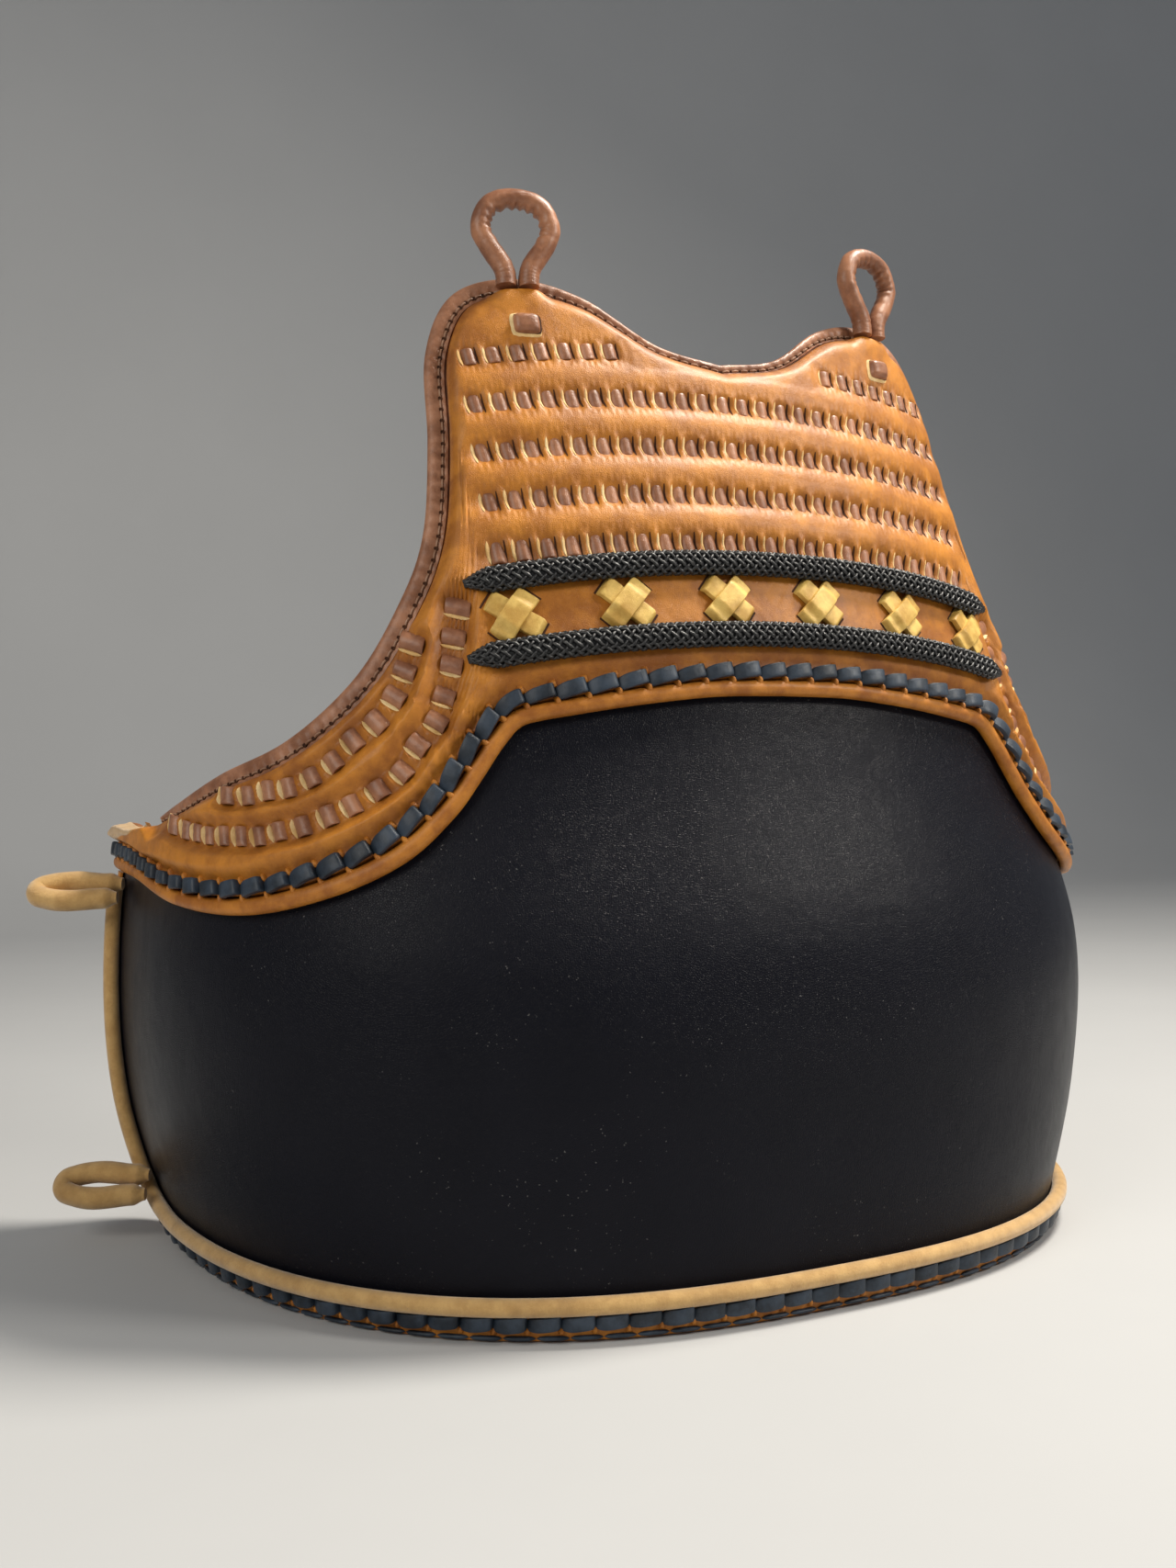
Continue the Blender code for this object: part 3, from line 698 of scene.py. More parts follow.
def near_line(s, z, line):
    """Distance of each point to a line of points on the body."""
    best = np.full(np.shape(s), 1.0)
    for (a_s, a_z), (b_s, b_z) in zip(line[:-1], line[1:]):
        run_s, run_z = b_s - a_s, b_z - a_z
        t = np.clip(((s - a_s) * run_s + (z - a_z) * run_z) / (run_s**2 + run_z**2), 0, 1)
        best = np.minimum(best, np.hypot(s - a_s - t * run_s, z - a_z - t * run_z))
    return best


def eased(value, low, high):
    """From 0 to 1 between two values, with a soft start and end."""
    t = np.clip((value - low) / (high - low), 0, 1)
    return t * t * (3 - 2 * t)


wing_lines = [np.array(WING_INNER[:-1] + ((0.291, 0.1925), (0.300, 0.1905))), np.array(WING_OUTER)]
FINE_COUNT = 241
fine_steps = np.linspace(0, len(PLATE_ROWS) - 1, FINE_COUNT)
fine_rows = mirrored(along(PLATE_ROWS, fine_steps))
rim_round = fine_rows[FINE_COUNT - 1 :, 2]
rim_line = fine_rows[:, 2:4]
edge_line = aside(rim_line, -fine_rows[:, 4])
lace_line = fine_rows[:, :2]
LOOP_ROUND = 0.0890
near_edge_line = np.vstack([lace_line[:1], edge_line[::2], lace_line[-1:]])
near_lace_line = lace_line[::2]


def padding(s, z):
    """How thick the chest plate is at a place, with its ribs, grooves, puckers and folds."""
    s, z = np.broadcast_arrays(np.asarray(s, float), np.asarray(z, float))
    shape = s.shape
    s, z = s.ravel(), z.ravel()
    a = np.abs(s)
    centre = np.minimum(a, 0.111)
    level = z + ROW_BOW * centre**2 + (CORD_BOW - ROW_BOW) * centre**2 * eased(-z, -0.304, -0.296)
    stand = curve(RIBS, np.clip(level, 0.2400, 0.4300))[:, 0]
    stand = np.where(level > 0.3767, np.maximum(stand, 0.60 * eased(0.050 - a, -0.004, 0.006)), stand)
    chest = PLATE_GROOVE + (PLATE_RIB - PLATE_GROOVE) * stand
    inner = near_line(a, z, wing_lines[0])
    outer = near_line(a, z, wing_lines[1])
    swell = WING_SWELL * eased(inner, 0.0032, 0.0095) * eased(outer, 0.0032, 0.0095)
    wing = PLATE_GROOVE - 0.0004 + swell
    thick = chest + (wing - chest) * eased(a, WING_FROM, WING_FULL)
    edge = near_line(s, z, near_edge_line)
    lace = near_line(s, z, near_lace_line)
    tip = eased(a, TIP_FROM, TIP_FULL)
    low_edge = PLATE_EDGE - 0.0012 * tip
    full = np.clip((edge - 0.0006 + 0.0004 * tip) / (0.0074 - 0.0046 * tip), 0, 1)
    full = full * np.clip((lace - 0.0030 + 0.0004 * tip) / (0.0060 - 0.0030 * tip), 0, 1)
    thick = low_edge + (thick - low_edge) * full * full * (3 - 2 * full)
    thick = thick + EDGE_RIDGE * np.exp(-(((edge - 0.0042) / 0.0018) ** 2))
    shoulder = eased(1.6 - np.abs(a - LOOP_ROUND) / 0.0095, 0.0, 1.0) * eased(z, 0.3990, 0.4075)
    thick = thick + (PLATE_SHOULDER - thick) * shoulder
    for index, (at_s, at_z, angle, along_half, across_half, between, side) in enumerate(stitches):
        local = np.nonzero((np.abs(s - at_s) < STITCH_REACH) & (np.abs(z - at_z) < STITCH_REACH))[0]
        u = np.abs((s[local] - at_s) * math.cos(angle) + (z[local] - at_z) * math.sin(angle))
        v = -(s[local] - at_s) * math.sin(angle) + (z[local] - at_z) * math.cos(angle)
        puff = PUFF_RISE * np.exp(-(((u - between) / (0.75 * (between - along_half))) ** 2))
        thick[local] += puff * np.exp(-((v / (1.05 * across_half)) ** 4))
        seat = (u / (1.20 * along_half)) ** 8 + (v / (1.12 * across_half)) ** 8
        thick[local] -= STRAP_DIP * np.exp(-seat)
        gather = GATHER_CHEST if abs(at_s) < WING_FROM else GATHER_WING
        gather = gather * np.cos(2 * math.pi * u / GATHER_PITCH + 1.3 * index)
        fade = (u / 0.0045) ** 4 + ((np.abs(v) - across_half - 0.0018) / 0.0017) ** 2
        thick[local] += gather * np.exp(-fade)
    return thick.reshape(shape)


# Where wing and chest meet: the middle of the bend and how far it reaches, round and in height
BEND_AT = (0.140, 0.225)
BEND_REACH = (0.022, 0.030)
BROAD_FOLD = 0.00045
SMALL_CREASE, BEND_CREASE = 0.00010, 0.00120


def folds(s, z):
    """Small uneven folds of the leather, deeper where wing and chest meet."""
    s, z = np.broadcast_arrays(np.asarray(s, float), np.asarray(z, float))
    away = ((np.abs(s) - BEND_AT[0]) / BEND_REACH[0]) ** 2 + ((z - BEND_AT[1]) / BEND_REACH[1]) ** 2
    made = np.zeros(s.size)
    for i, (u, v, bend) in enumerate(zip(s.ravel(), z.ravel(), np.exp(-away).ravel())):
        broad = noise.noise(Vector((u * 42, v * 60, 3.0)))
        crease = noise.noise(Vector(((abs(u) + v) * 130, (abs(u) - v) * 420, 9.0)))
        made[i] = BROAD_FOLD * broad + (SMALL_CREASE + BEND_CREASE * bend) * crease
    return made.reshape(s.shape)


def outside(s, z):
    """How far out of the shell's skin the plate's outer face is at a place."""
    return PLATE_SEAM + padding(s, z) + folds(s, z)


PLATE_GAP = 0.0009
PLATE_LOW = 0.0022
chest_steps = np.interp(np.linspace(0, WING_FULL, 176), rim_round, fine_steps)
wing_steps = np.interp(np.linspace(WING_FULL, rim_round[-1], 181)[1:], rim_round, fine_steps)


def plate_net(steps, rows):
    """Lengths round and heights over the whole plate, from its lower edge to its rim."""
    columns = mirrored(along(PLATE_ROWS, steps))
    gap = np.where(columns[:, 4] > 0.0005, PLATE_GAP, 0.0)
    lower = aside(columns[:, :2], -PLATE_LOW)
    upper = aside(columns[:, 2:4], -(columns[:, 4] + gap))
    rows = np.reshape(rows, (-1, 1))
    return [lower[:, c] + (upper[:, c] - lower[:, c]) * rows for c in range(2)]


shares = np.concatenate([[0.0, 0.004], np.linspace(0.012, 0.988, 122), [0.9965, 1.0]])
plate_round, plate_height = plate_net(np.concatenate([chest_steps, wing_steps]), shares)
thick = outside(plate_round, plate_height) - PLATE_SEAM
# The first and last rows are drawn in, which rounds the edges
for row, less in ((0, 0.0012), (1, 0.0003), (-2, 0.0003), (-1, 0.0011)):
    thick[row] -= less
back_round, back_height = plate_net(np.linspace(0, len(PLATE_ROWS) - 1, 61), np.linspace(0, 1, 15))
tan_plate = leather(
    "tan_plate_finish", (0.240, 0.070, 0.006), (0.560, 0.212, 0.022), 0.38, 0.0007, 0.00009, rub="rub"
)
outer_face = skin(plate_round, plate_height, PLATE_SEAM + thick)
outer_edge = skin(plate_round, plate_height, PLATE_SEAM)


def open_slab(outer, inner):
    """The outer face of a wall and its sides, without its inner face."""
    points, faces = slab(outer, inner)
    rows, cols = outer.shape[:2]
    count = (rows - 1) * (cols - 1)
    return points, np.vstack([faces[:count], faces[2 * count :]])


lining = layer(back_round, back_height, PLATE_SEAM + 0.0003, PLATE_SEAM)
plate_shapes = [open_slab(outer_face, outer_edge), lining]
chest = piece("chest_plate_leather", plate_shapes, tan_plate, ["chest_plate"])
# Painted shade and light: the leather is coloured deep in the grooves, where shade falls, and fair on the
# ribs, where the light catches them
rub = np.full(len(chest.data.vertices), 0.3)
rub[: thick.size] = np.clip((thick.ravel() - 0.0042) / 0.0048, 0, 1)
chest.data.attributes.new("rub", "FLOAT", "POINT").data.foreach_set("value", rub.astype(np.float32))

# Wing ends. Each wing's end is capped by a small piece of pale suede.
WING_END_FROM = 12.75
WING_END_LOW = 0.24
WING_END_RISE = 0.0007
WING_END_THICK = 0.0014
WING_END_PAST = 0.0004
end_share = np.linspace(0, 1, 33)
end_rows = along(PLATE_ROWS, WING_END_FROM + (len(PLATE_ROWS) - 1 - WING_END_FROM) * end_share)
end_low = 1 - (1 - WING_END_LOW) * end_share**0.85
end_net = end_low + (1 - end_low) * np.linspace(0, 1, 15)[:, None]
end_s, end_z = (end_rows[:, c] + (end_rows[:, c + 2] - end_rows[:, c]) * end_net for c in range(2))
end_s = end_s + WING_END_PAST * end_share
rise = WING_END_RISE * np.sqrt(1 - np.linspace(-1, 1, 15)[:, None] ** 6)
for name, hand in (("left", -1), ("right", 1)):
    top = outside(hand * end_s, end_z) + rise
    end_shape = layer(hand * end_s, end_z, top, top - WING_END_THICK)
    piece("wing_end_suede_" + name, [end_shape], suede.material)

# Quilting straps. A strap of glossy brown leather runs along each row, in and out of slits in the
# plate. Each stitch is an arch that goes down at both ends: at one the cut edge of the tan leather
# shows pale, and at the other a thin dark sheet is painted shadow in the slit, left out on the wings.
STRAP_RISE = 0.00150
STRAP_THIN = 0.0010
CUT_OUT, CUT_HALF, CUT_RISE, CUT_THICK = 0.00055, 0.00075, 0.00055, 0.0010
# Painted slit shadows: how far past the strap, half their width along the row, rise and thickness
SLIT_OUT, SLIT_HALF, SLIT_RISE, SLIT_THICK = 0.00030, 0.00034, 0.00020, 0.0006
brown = leather(
    "brown_leather_finish", (0.190, 0.072, 0.033), (0.400, 0.178, 0.090), 0.28, 0.0006, 0.00006, gloss=0.25
)
pale = leather(
    "cut_edge_finish", (0.560, 0.330, 0.110), (0.850, 0.640, 0.330), 0.62, 0.0004, 0.00005, gloss=0.0
)
# Painted shade: this dark finish goes on thin sheets laid where slits and stitch holes lie in shadow
painted_shade = leather(
    "painted_shade_finish", (0.035, 0.012, 0.005), (0.080, 0.028, 0.011), 0.85, 0.0005, 0.00004, gloss=0.0
)
straps, cut_edges, slit_shadows = [], [], []
arch_place = np.array([-1.22, -1.12, -1.0, -0.85, -0.6, -0.3, 0.0, 0.3, 0.6, 0.85, 1.0, 1.12, 1.22])
arch_rise = STRAP_RISE * np.clip(1 - np.abs(arch_place) ** 2.4, -1.2, 1)
edge_place = np.linspace(-1, 1, 9)[:, None]
lip_place = np.linspace(-1, 1, 5)[None]


def turned(at_s, at_z, angle, along_way, across_way):
    """Lengths round and heights of points set out round a place, in a frame turned by an angle."""
    c, s = math.cos(angle), math.sin(angle)
    return at_s + along_way * c - across_way * s, at_z + along_way * s + across_way * c


for index, (at_s, at_z, angle, along_half, across_half, between, side) in enumerate(stitches):
    angle = angle + 0.05 * math.sin(12.9 * index)
    level = float(outside(at_s, at_z)) + STRAP_DIP + 0.0002
    wide = across_half * (1.0 + 0.05 * math.sin(7.7 * index))
    b, a = np.meshgrid(across_share * wide, arch_place * along_half)
    top = level + arch_rise[:, None] - 0.45 * across_drop[None]
    top = top + 0.00010 * np.sin(b / wide * 7.0 + 2.1 * index)
    straps.append(layer(*turned(at_s, at_z, angle, a, b), top, top - STRAP_THIN))
    thin = CUT_HALF * (1.15 - edge_place**4)
    bowed = along_half + CUT_OUT + 0.00025 * (1 - edge_place**2) + 0.00012 * math.sin(3.1 * index)
    spot = turned(at_s, at_z, angle, side * (bowed + thin * lip_place), edge_place * wide * 1.02)
    top = np.maximum(outside(*spot), level - 0.00010)
    top = top + CUT_RISE * np.sqrt(1 - lip_place**2) * (1 - 0.6 * edge_place**4)
    cut_edges.append(layer(*spot, top, top - CUT_THICK))
    # Painted shadow: a thin dark sheet at the slit end of each stitch, left out on the wings
    if abs(at_s) < WING_FROM:
        bulge = SLIT_HALF * (1 - 0.6 * edge_place**2)
        a = -side * (along_half + SLIT_OUT + bulge * lip_place)
        spot = turned(at_s, at_z, angle, a, edge_place * wide * 1.04)
        top = outside(*spot) + SLIT_RISE
        slit_shadows.append(layer(*spot, top, top - SLIT_THICK))
piece("quilting_straps", straps, brown)
piece("quilting_cut_edges", cut_edges, pale)
piece("quilting_slit_shadows", slit_shadows, painted_shade)

# Hem roll. The plate's lower edge is turned over a cord, below the hem lacing.
HEM_RADIUS = 0.0032
HEM_DROP = 0.0059
hem_line = even(aside(lace_line, -HEM_DROP), 0.0025, 0.004)
piece("hem_roll_leather", [rod(welt(hem_line, HEM_RADIUS, SEAM))], tan, ["hem_roll"])
hem_stitches, hem_lips = laced(even(lace_line, 0.002, 0.004), LACE_BASE)
piece("hem_lacing_strap", hem_stitches, indigo, ["hem_lacing"])
piece("hem_lacing_lips", hem_lips, tan)

# Binding. A strip of the brown backing stands out beyond the plate's edge round the armholes and
# the neck, with one row of small stitches that pucker it.
BINDING_LOW = 0.0005
BINDING_HIGH = 0.0027
BINDING_END = 0.306
THREAD_PITCH = 0.0049
WRINKLE = 0.00030
PINCH = 0.0009
bound = fine_rows[np.abs(rim_line[:, 0]) < BINDING_END]
length = lengths(bound[:, 2:4])
at = np.linspace(0, length[-1], int(length[-1] / 0.0009))
outer_line = found(bound[:, 2:4], length, at)
width = np.interp(at, length, bound[:, 4])
inner_line = aside(outer_line, -width)
pucker = 0.5 + 0.5 * np.cos(2 * math.pi * at / THREAD_PITCH)
binding_finish = leather(
    "binding_finish", (0.205, 0.080, 0.036), (0.430, 0.200, 0.108), 0.34, 0.0007, 0.00007, gloss=0.18
)
# share of the width, out, pucker; it starts with the tongue that lies under the plate
BINDING_PROFILE = (
    (-0.22, BINDING_LOW, 0.0),
    (-0.22, BINDING_LOW + 0.0002, 0.0),
    (0.00, BINDING_LOW + 0.0002, 0.0),
    (0.02, BINDING_HIGH - 0.0002, 0.0),
    (0.12, BINDING_HIGH + 0.0001, 0.3),
    (0.24, BINDING_HIGH - 0.0002, 1.0),
    (0.36, BINDING_HIGH + 0.0001, 0.7),
    (0.55, BINDING_HIGH + 0.0006, 0.3),
    (0.75, BINDING_HIGH + 0.0006, 0.1),
    (0.90, BINDING_HIGH + 0.0002, 0.0),
    (0.98, BINDING_HIGH - 0.0006, 0.0),
    (1.00, BINDING_HIGH - 0.0013, 0.0),
    (0.97, BINDING_LOW, 0.0),
)
rings = []
for across, out, pinch in BINDING_PROFILE:
    place = inner_line + (outer_line - inner_line) * across
    wrinkle = np.array([noise.noise(Vector((v * 260, across * 3.0, 1.0))) for v in at])
    out = out - PINCH * pinch * pucker + WRINKLE * min(1.0, 4 * pinch) * wrinkle
    rings.append(skin(place[:, 0], place[:, 1], out))
piece("binding_leather", [rod(np.stack(rings, axis=1))], binding_finish, ["binding"])

THREAD_HALF = 0.0017
THREAD_RADIUS = 0.00042
THREAD_ARCH = 0.0006
HOLE_RADIUS = 0.00085
thread_finish = leather("thread_finish", (0.240, 0.120, 0.068), (0.420, 0.250, 0.160), 0.50, 0.0004, 0.00004)
threads, hole_shades = [], []
seam_line = inner_line + (outer_line - inner_line) * 0.26
run = np.linspace(-1, 1, 7)
thread_high = BINDING_HIGH - 0.0002 + THREAD_ARCH * (1 - run**2)
thread_ring = strand(THREAD_RADIUS, THREAD_RADIUS, thread_high, 6)
u, v = np.meshgrid(run, run)
# Painted shade: a small dark dished disk in each gap between the threads stands for the shade in the stitch
# hole
disk_u, disk_v = HOLE_RADIUS * u * np.sqrt(1 - 0.5 * v**2), HOLE_RADIUS * v * np.sqrt(1 - 0.5 * u**2)
hole_top = BINDING_HIGH - 0.0001 - 0.0004 * (1 - u**2)
for middle in np.arange(0.5 * THREAD_PITCH, length[-1] - THREAD_PITCH, THREAD_PITCH):
    threads.append(rod(laid(found(seam_line, at, middle + THREAD_HALF * run), thread_ring)))
    gap_s, gap_z = found(seam_line, at, [middle + 0.5 * THREAD_PITCH])[0]
    hole_shades.append(layer(gap_s + disk_u, gap_z + disk_v, hole_top, BINDING_HIGH - 0.0016))
piece("binding_threads", threads, thread_finish)
piece("binding_hole_shades", hole_shades, painted_shade)

# Shoulder loops. Rolled brown leather bent into a hoop, wrinkled on the inside of the bend, whose
# two ends go down between the skins of the plate.
LOOP_FOOT = 0.4128
LOOP_OUT = 0.0078
LOOP_LEAN = 4.0
LOOP_RADIUS = 0.0044
LOOP_PLEAT = 0.0013
LOOP_STEPS = 181
LOOP_SIDES = 22
# across, up, from the foot of one leg to the top of the bow
LOOP_ROWS = (
    (-0.0049, 0.0000),
    (-0.0049, 0.0040),
    (-0.0064, 0.0090),
    (-0.0122, 0.0180),
    (-0.0147, 0.0255),
    (-0.0104, 0.0344),
    (0.0000, 0.0375),
)


def tube(line, radius, first):
    """Rings round a line of points in space, with the direction that each starts from."""
    run = np.gradient(line, axis=0)
    run /= np.linalg.norm(run, axis=1)[:, None]
    turn = turns(radius.shape[1])
    lift = first
    rings = []
    for point, way, r in zip(line, run, radius):
        lift = lift - np.dot(lift, way) * way
        lift = lift / np.linalg.norm(lift)
        out = np.cross(way, lift)
        rings.append(point + r[:, None] * (np.cos(turn)[:, None] * lift + np.sin(turn)[:, None] * out))
    return np.array(rings)


def hooped(rows, flip, steps, foot, first, second):
    """A line in space from one foot of a loop over its bow to the other, from half of its rows."""
    rows = np.array(rows)
    rows = np.vstack([rows, rows[-2::-1] * flip])
    rows = along(rows, np.linspace(0, len(rows) - 1, steps))
    return foot + rows[:, :1] * first + rows[:, 1:] * second


def uneven(steps, sides, pace, round_pace, shift):
    """Soft random unevenness of a tube, along it and round it."""
    ways = [(round_pace * math.cos(t), round_pace * math.sin(t) + shift) for t in turns(sides)]
    return np.array([[noise.noise(Vector((pace * step, *way))) for way in ways] for step in range(steps)])


inside = np.clip(np.sin(turns(LOOP_SIDES)), 0, 1) ** 1.2
step = np.arange(LOOP_STEPS)
bow = np.exp(-(((step - LOOP_STEPS // 2) / 42.0) ** 4))
lean = math.radians(LOOP_LEAN)
rise = np.array([0.0, math.sin(lean), math.cos(lean)])
for name, hand in (("left", -1), ("right", 1)):
    foot = skin(hand * LOOP_ROUND, LOOP_FOOT, LOOP_OUT)
    across = skin(hand * LOOP_ROUND + 0.004, LOOP_FOOT) - skin(hand * LOOP_ROUND - 0.004, LOOP_FOOT)
    across /= np.linalg.norm(across)
    line = hooped(LOOP_ROWS, (-1, 1), LOOP_STEPS, foot, across, rise)
    pleat = bow * (0.5 + 0.5 * np.sin(step * 0.92 + 1.4 * np.sin(step * 0.21 + hand)))
    radius = LOOP_RADIUS * (1.0 + 0.045 * uneven(LOOP_STEPS, LOOP_SIDES, 0.30, 1.6, hand))
    rings = tube(line, radius - LOOP_PLEAT * pleat[:, None] * inside, np.cross(across, rise))
    piece("shoulder_loop_leather_" + name, [rod(rings)], brown, ["shoulder_loop_" + name])

# Shoulder tabs. One wider strap through two slits below each loop holds the loop's ends. The
# leather stands up pale round its left and lower sides. A dark sheet under the strap is painted
# shadow, showing at its right and upper sides.
TAB_HEIGHT = 0.3950
TAB_HALF_WIDE = 0.0054
TAB_HALF_HIGH = 0.0041
TAB_THICK = 0.0009
tab_u, tab_v = np.meshgrid(np.linspace(-1, 1, 19), np.linspace(-1, 1, 19))
round_u = tab_u * np.sqrt(1 - 0.22 * tab_v**4)
round_v = tab_v * np.sqrt(1 - 0.22 * tab_u**4)
dome = np.sqrt((1 - tab_u**4) * (1 - tab_v**4))
# part, finish, how much wider than the strap, moved round and up, stand of the rim and the middle
TAB_PARTS = (
    ("cut_edge", pale, 0.0010, -0.0004, -0.0003, 0.00010, 0.0005, "tan_leather"),
    # The dark slit sheet is painted shadow
    ("slit", painted_shade, 0.0003, 0.0003, 0.0001, 0.00045, 0.0003, "brown_leather"),
    ("strap", brown, 0.0, 0.0, 0.0, 0.00040, 0.0030, "brown_leather"),
)
for name, hand in (("left", -1), ("right", 1)):
    mid_s = hand * (LOOP_ROUND - 0.0010)
    for part, finish, wider, moved_s, moved_z, rim, middle, slot in TAB_PARTS:
        spot = (
            mid_s + moved_s + (TAB_HALF_WIDE + wider) * round_u,
            TAB_HEIGHT + moved_z + (TAB_HALF_HIGH + wider) * round_v,
        )
        top = padding(*spot) + PLATE_SEAM + rim + middle * dome
        shape = layer(*spot, top, top - TAB_THICK - middle * dome)
        stands_for = ["shoulder_tab_" + name] if part == "strap" else []
        piece("shoulder_tab_%s_%s" % (part, name), [shape], finish, stands_for)

# Side loops. Suede rolled round a core and doubled, two on each back edge, for the cords that tie
# the protector on.
SIDE_LOOP_RADIUS = 0.0049
SIDE_LOOP_REACH = 0.0380
SIDE_LOOP_HALF = 0.0069
SIDE_LOOP_STEPS = 121
SIDE_LOOP_SIDES = 20
# The way a loop points, outwards and back
SIDE_LOOP_WAY = (0.90, 0.44)
# name, round the body, height, lean about its own axis in degrees, out
SIDE_LOOPS = (
    ("upper", 0.3720, 0.1585, 34.0, 0.0040),
    ("lower", 0.3560, 0.0270, 42.0, 0.0056),
)
# share of the reach, across, from one foot to the bow
SIDE_LOOP_ROWS = (
    (0.0000, -0.0051),
    (0.0100, -0.0056),
    (0.62 * SIDE_LOOP_REACH, -SIDE_LOOP_HALF),
    (0.93 * SIDE_LOOP_REACH, -0.62 * SIDE_LOOP_HALF),
    (SIDE_LOOP_REACH, 0.0),
)
from_end = np.minimum(np.arange(SIDE_LOOP_STEPS), np.arange(SIDE_LOOP_STEPS)[::-1])
sewn = 0.55 + 0.45 * eased(from_end, 0.0, 9.0)
way_x, way_y = np.array(SIDE_LOOP_WAY) / math.hypot(*SIDE_LOOP_WAY)
for which, loop_round, loop_height, lean, out in SIDE_LOOPS:
    tilt = math.radians(lean)
    for name, hand in (("left", -1), ("right", 1)):
        foot = skin(hand * loop_round, loop_height, out)
        way_out = np.array([way_x * hand, way_y, 0.0])
        across = np.array([math.cos(tilt) * way_y * hand, -math.cos(tilt) * way_x, -math.sin(tilt)])
        line = hooped(SIDE_LOOP_ROWS, (1, -1), SIDE_LOOP_STEPS, foot, way_out, across)
        bumps = uneven(SIDE_LOOP_STEPS, SIDE_LOOP_SIDES, 0.10, 1.2, hand + loop_height)
        radius = SIDE_LOOP_RADIUS * sewn[:, None] * (1.0 + 0.06 * bumps)
        rings = tube(line, radius, np.cross(way_out, across))
        where = "%s_%s" % (which, name)
        piece("side_loop_suede_" + where, [rod(rings)], suede.material, ["side_loop_" + where])

# Cords. Two flat braids of black yarn are couched down across the chest, pointed at their ends.
CORDS = (("upper", 0.2935, 0.1275), ("lower", 0.2640, 0.1295))
CORD_HALF_WIDE = 0.0043
CORD_HALF_HIGH = 0.0023
CORD_OUT = 0.0104
YARNS = 7
YARN_RADIUS = 0.00072
YARN_TWIST = 0.0036
YARN_WEAVE = 0.00040
BRAID_LAY = 0.0270
CORD_CORE = 0.86
CORD_POINT = 0.010
yarn = Finish("black_cord_finish")
fibre = yarn.specks(0.0005, 5.0, 0.7)
yarn.set(
    base_color=yarn.tint(fibre.between(0.50, 0.80), (0.0020, 0.0020, 0.0025), (0.020, 0.020, 0.022)),
    roughness=0.30 + fibre * 0.2,
    normal=yarn.relief(fibre, 0.00010),
    specular_ior_level=0.60,
)
for which, cord_height, cord_half in CORDS:
    s = np.linspace(-cord_half, cord_half, 470)
    path = np.column_stack([s, cord_height - CORD_BOW * s**2])
    taper = np.clip((cord_half - np.abs(s)) / CORD_POINT, 0.12, 1.0) ** 0.65
    core = CORD_CORE * taper
    core = strand(CORD_HALF_WIDE * core, CORD_HALF_HIGH * core, CORD_OUT, ROUND_SIDES)
    shapes = [rod(laid(path, core))]
    lift = skin(*path[0], CORD_OUT + 0.01) - skin(*path[0], CORD_OUT)
    plies = 2 * (turns(6) - 2 * math.pi * s[:, None] / YARN_TWIST)
    radius = YARN_RADIUS * (1.0 + 0.22 * np.cos(plies))
    for hand in (-1, 1):
        weave = YARN_WEAVE * hand * np.cos(2 * math.pi * YARNS * s / BRAID_LAY)
        for index in range(YARNS):
            phase = 2 * math.pi * (index / YARNS + hand * s / BRAID_LAY)
            place = aside(path, (CORD_HALF_WIDE + weave) * taper * np.cos(phase))
            out = CORD_OUT + (CORD_HALF_HIGH + weave) * taper * np.sin(phase)
            shapes.append(rod(tube(skin(place[:, 0], place[:, 1], out), radius, lift)))
    piece("cord_braid_" + which, shapes, yarn.material, ["cord_" + which], sharp=80.0)

# Crosses. Two short yellow straps each, between the cords, with their ends down through slits. The
# rising strap lies over the other, which keeps its thickness as a step under it.
CROSS_HEIGHT = 0.2787
CROSS_PITCH = 0.0441
STRAP_WIDE = 0.0088
STRAP_THICK = 0.0017
STRAP_REACH = 0.0122
CROSS_LEAN = 43.0
CROSS_TOP = PLATE_SEAM + PLATE_GROOVE + 0.0027 + STRAP_THICK
CROSS_DIP = 0.0050
SLIT_WIDE = 0.52 * STRAP_WIDE
yellow = leather(
    "yellow_leather_finish", (0.480, 0.270, 0.052), (0.790, 0.540, 0.150), 0.44, 0.0006, 0.00007, gloss=0.08
)
cross_slit_shadows = []
lengthways = np.linspace(-1.05, 1.05, 43)
middle_share = eased(np.abs(lengthways), 0.66, 0.36)
dip = CROSS_DIP * eased(np.abs(lengthways), 0.80, 1.05) ** 1.3
a, b = np.meshgrid(across_share * 0.5 * STRAP_WIDE, lengthways * STRAP_REACH)
slit_lengths = STRAP_REACH + np.linspace(-0.0006, 0.0002, 4)
slit_a, slit_b = np.meshgrid(np.linspace(-1, 1, 7) * SLIT_WIDE, slit_lengths)
for index in range(6):
    s0 = (index - 2.5) * CROSS_PITCH
    z0 = CROSS_HEIGHT - CORD_BOW * s0**2
    row_slope = math.atan(-2 * CORD_BOW * s0)
    for which, slope, lift in (("under", -1, 0.0), ("over", 1, STRAP_THICK)):
        angle = math.radians(CROSS_LEAN + 1.5 * math.sin(2.4 * index + slope)) * slope + row_slope
        top = (CROSS_TOP + lift * middle_share - dip)[:, None] - across_drop[None]
        top = top + 0.00010 * np.sin(a * 900 + b * 400 + 2.0 * index)
        strap = layer(*turned(s0, z0, angle, b, a), top, top - STRAP_THICK)
        name = "%d_%s" % (index + 1, which)
        piece("cross_strap_" + name, [strap], yellow, ["cross_" + name])
        # Painted shadow: a thin dark sheet at each end of the strap, where it goes down into its slit
        for end in (-1, 1):
            spot = turned(s0, z0, angle, end * slit_b, slit_a)
            top = outside(*spot) + 0.00012
            cross_slit_shadows.append(layer(*spot, top, top - SLIT_THICK))
piece("cross_slit_shadows", cross_slit_shadows, painted_shade)

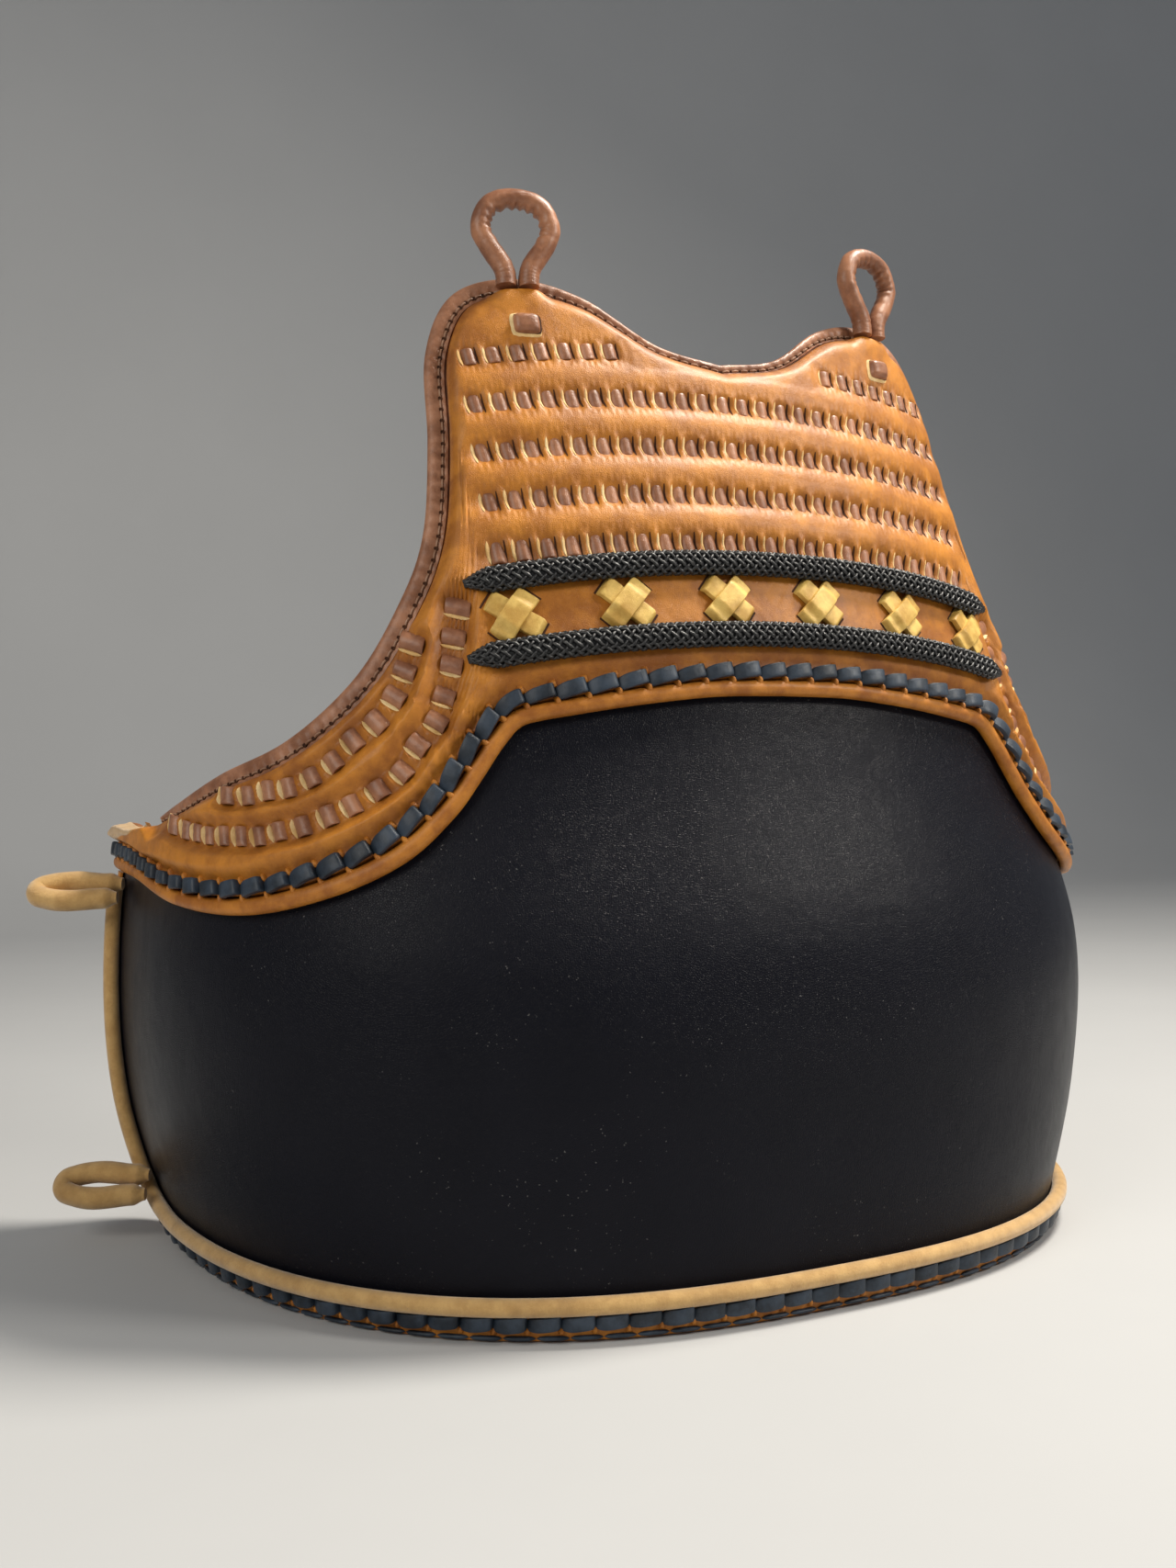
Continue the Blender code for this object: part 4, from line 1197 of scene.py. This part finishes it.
# Studio. A plain pale floor that curves up behind, one broad lamp above and behind the right
# shoulder, a second in front, and even light all round.
ground = Finish("floor_finish")
ground.set(
    base_color=ground.tint(ground.specks(0.30, 3.0), (0.46, 0.465, 0.47), (0.50, 0.505, 0.51)),
    roughness=0.62 + ground.specks(0.02) * 0.1,
)
FLOOR_HALF = 3.0
BACK_AT = 1.5
across_floor = np.linspace(-FLOOR_HALF, FLOOR_HALF, 9)
bend = np.radians(np.linspace(0, 90, 13))
profile = [(-3.0, 0.0), (BACK_AT, 0.0)]
profile += [(BACK_AT + 0.8 * math.sin(b), 0.8 - 0.8 * math.cos(b)) for b in bend[1:]]
profile += [(BACK_AT + 0.8, 3.5)]
points = [(x, y, z) for y, z in profile for x in across_floor]
faces = []
for r in range(len(profile) - 1):
    for c in range(len(across_floor) - 1):
        k = r * len(across_floor) + c
        faces.append((k, k + 1, k + len(across_floor) + 1, k + len(across_floor)))
mesh = bpy.data.meshes.new("floor")
mesh.from_pydata(points, [], faces)
mesh.shade_smooth()
mesh.materials.append(ground.material)
floor = bpy.data.objects.new("floor", mesh)
scene.collection.objects.link(floor)
# name, place, aim, size, watts, colour
LAMPS = (
    ("lamp_above", (0.60, -0.20, 1.50), (0.0, 0.0, 0.25), 0.42, 32.0, (1.0, 0.94, 0.84)),
    ("lamp_front", (1.00, -1.10, 1.05), (0.0, 0.0, 0.22), 0.42, 13.0, (1.0, 0.95, 0.87)),
    ("lamp_left", (-1.20, -0.60, 0.90), (0.0, 0.0, 0.20), 0.90, 9.0, (1.0, 0.96, 0.88)),
)
for name, place, aim, size, watts, colour in LAMPS:
    lamp = bpy.data.objects.new(name, bpy.data.lights.new(name, "AREA"))
    lamp.data.shape = "DISK"
    lamp.data.size = size
    lamp.data.energy = watts
    lamp.data.color = colour
    lamp.location = place
    lamp.rotation_euler = (Vector(aim) - Vector(place)).to_track_quat("-Z", "Y").to_euler()
    scene.collection.objects.link(lamp)
world = bpy.data.worlds.new("studio")
scene.world = world
world.use_nodes = True
world.node_tree.nodes["Background"].inputs["Color"].default_value = (0.80, 0.84, 0.90, 1.0)
world.node_tree.nodes["Background"].inputs["Strength"].default_value = 0.24
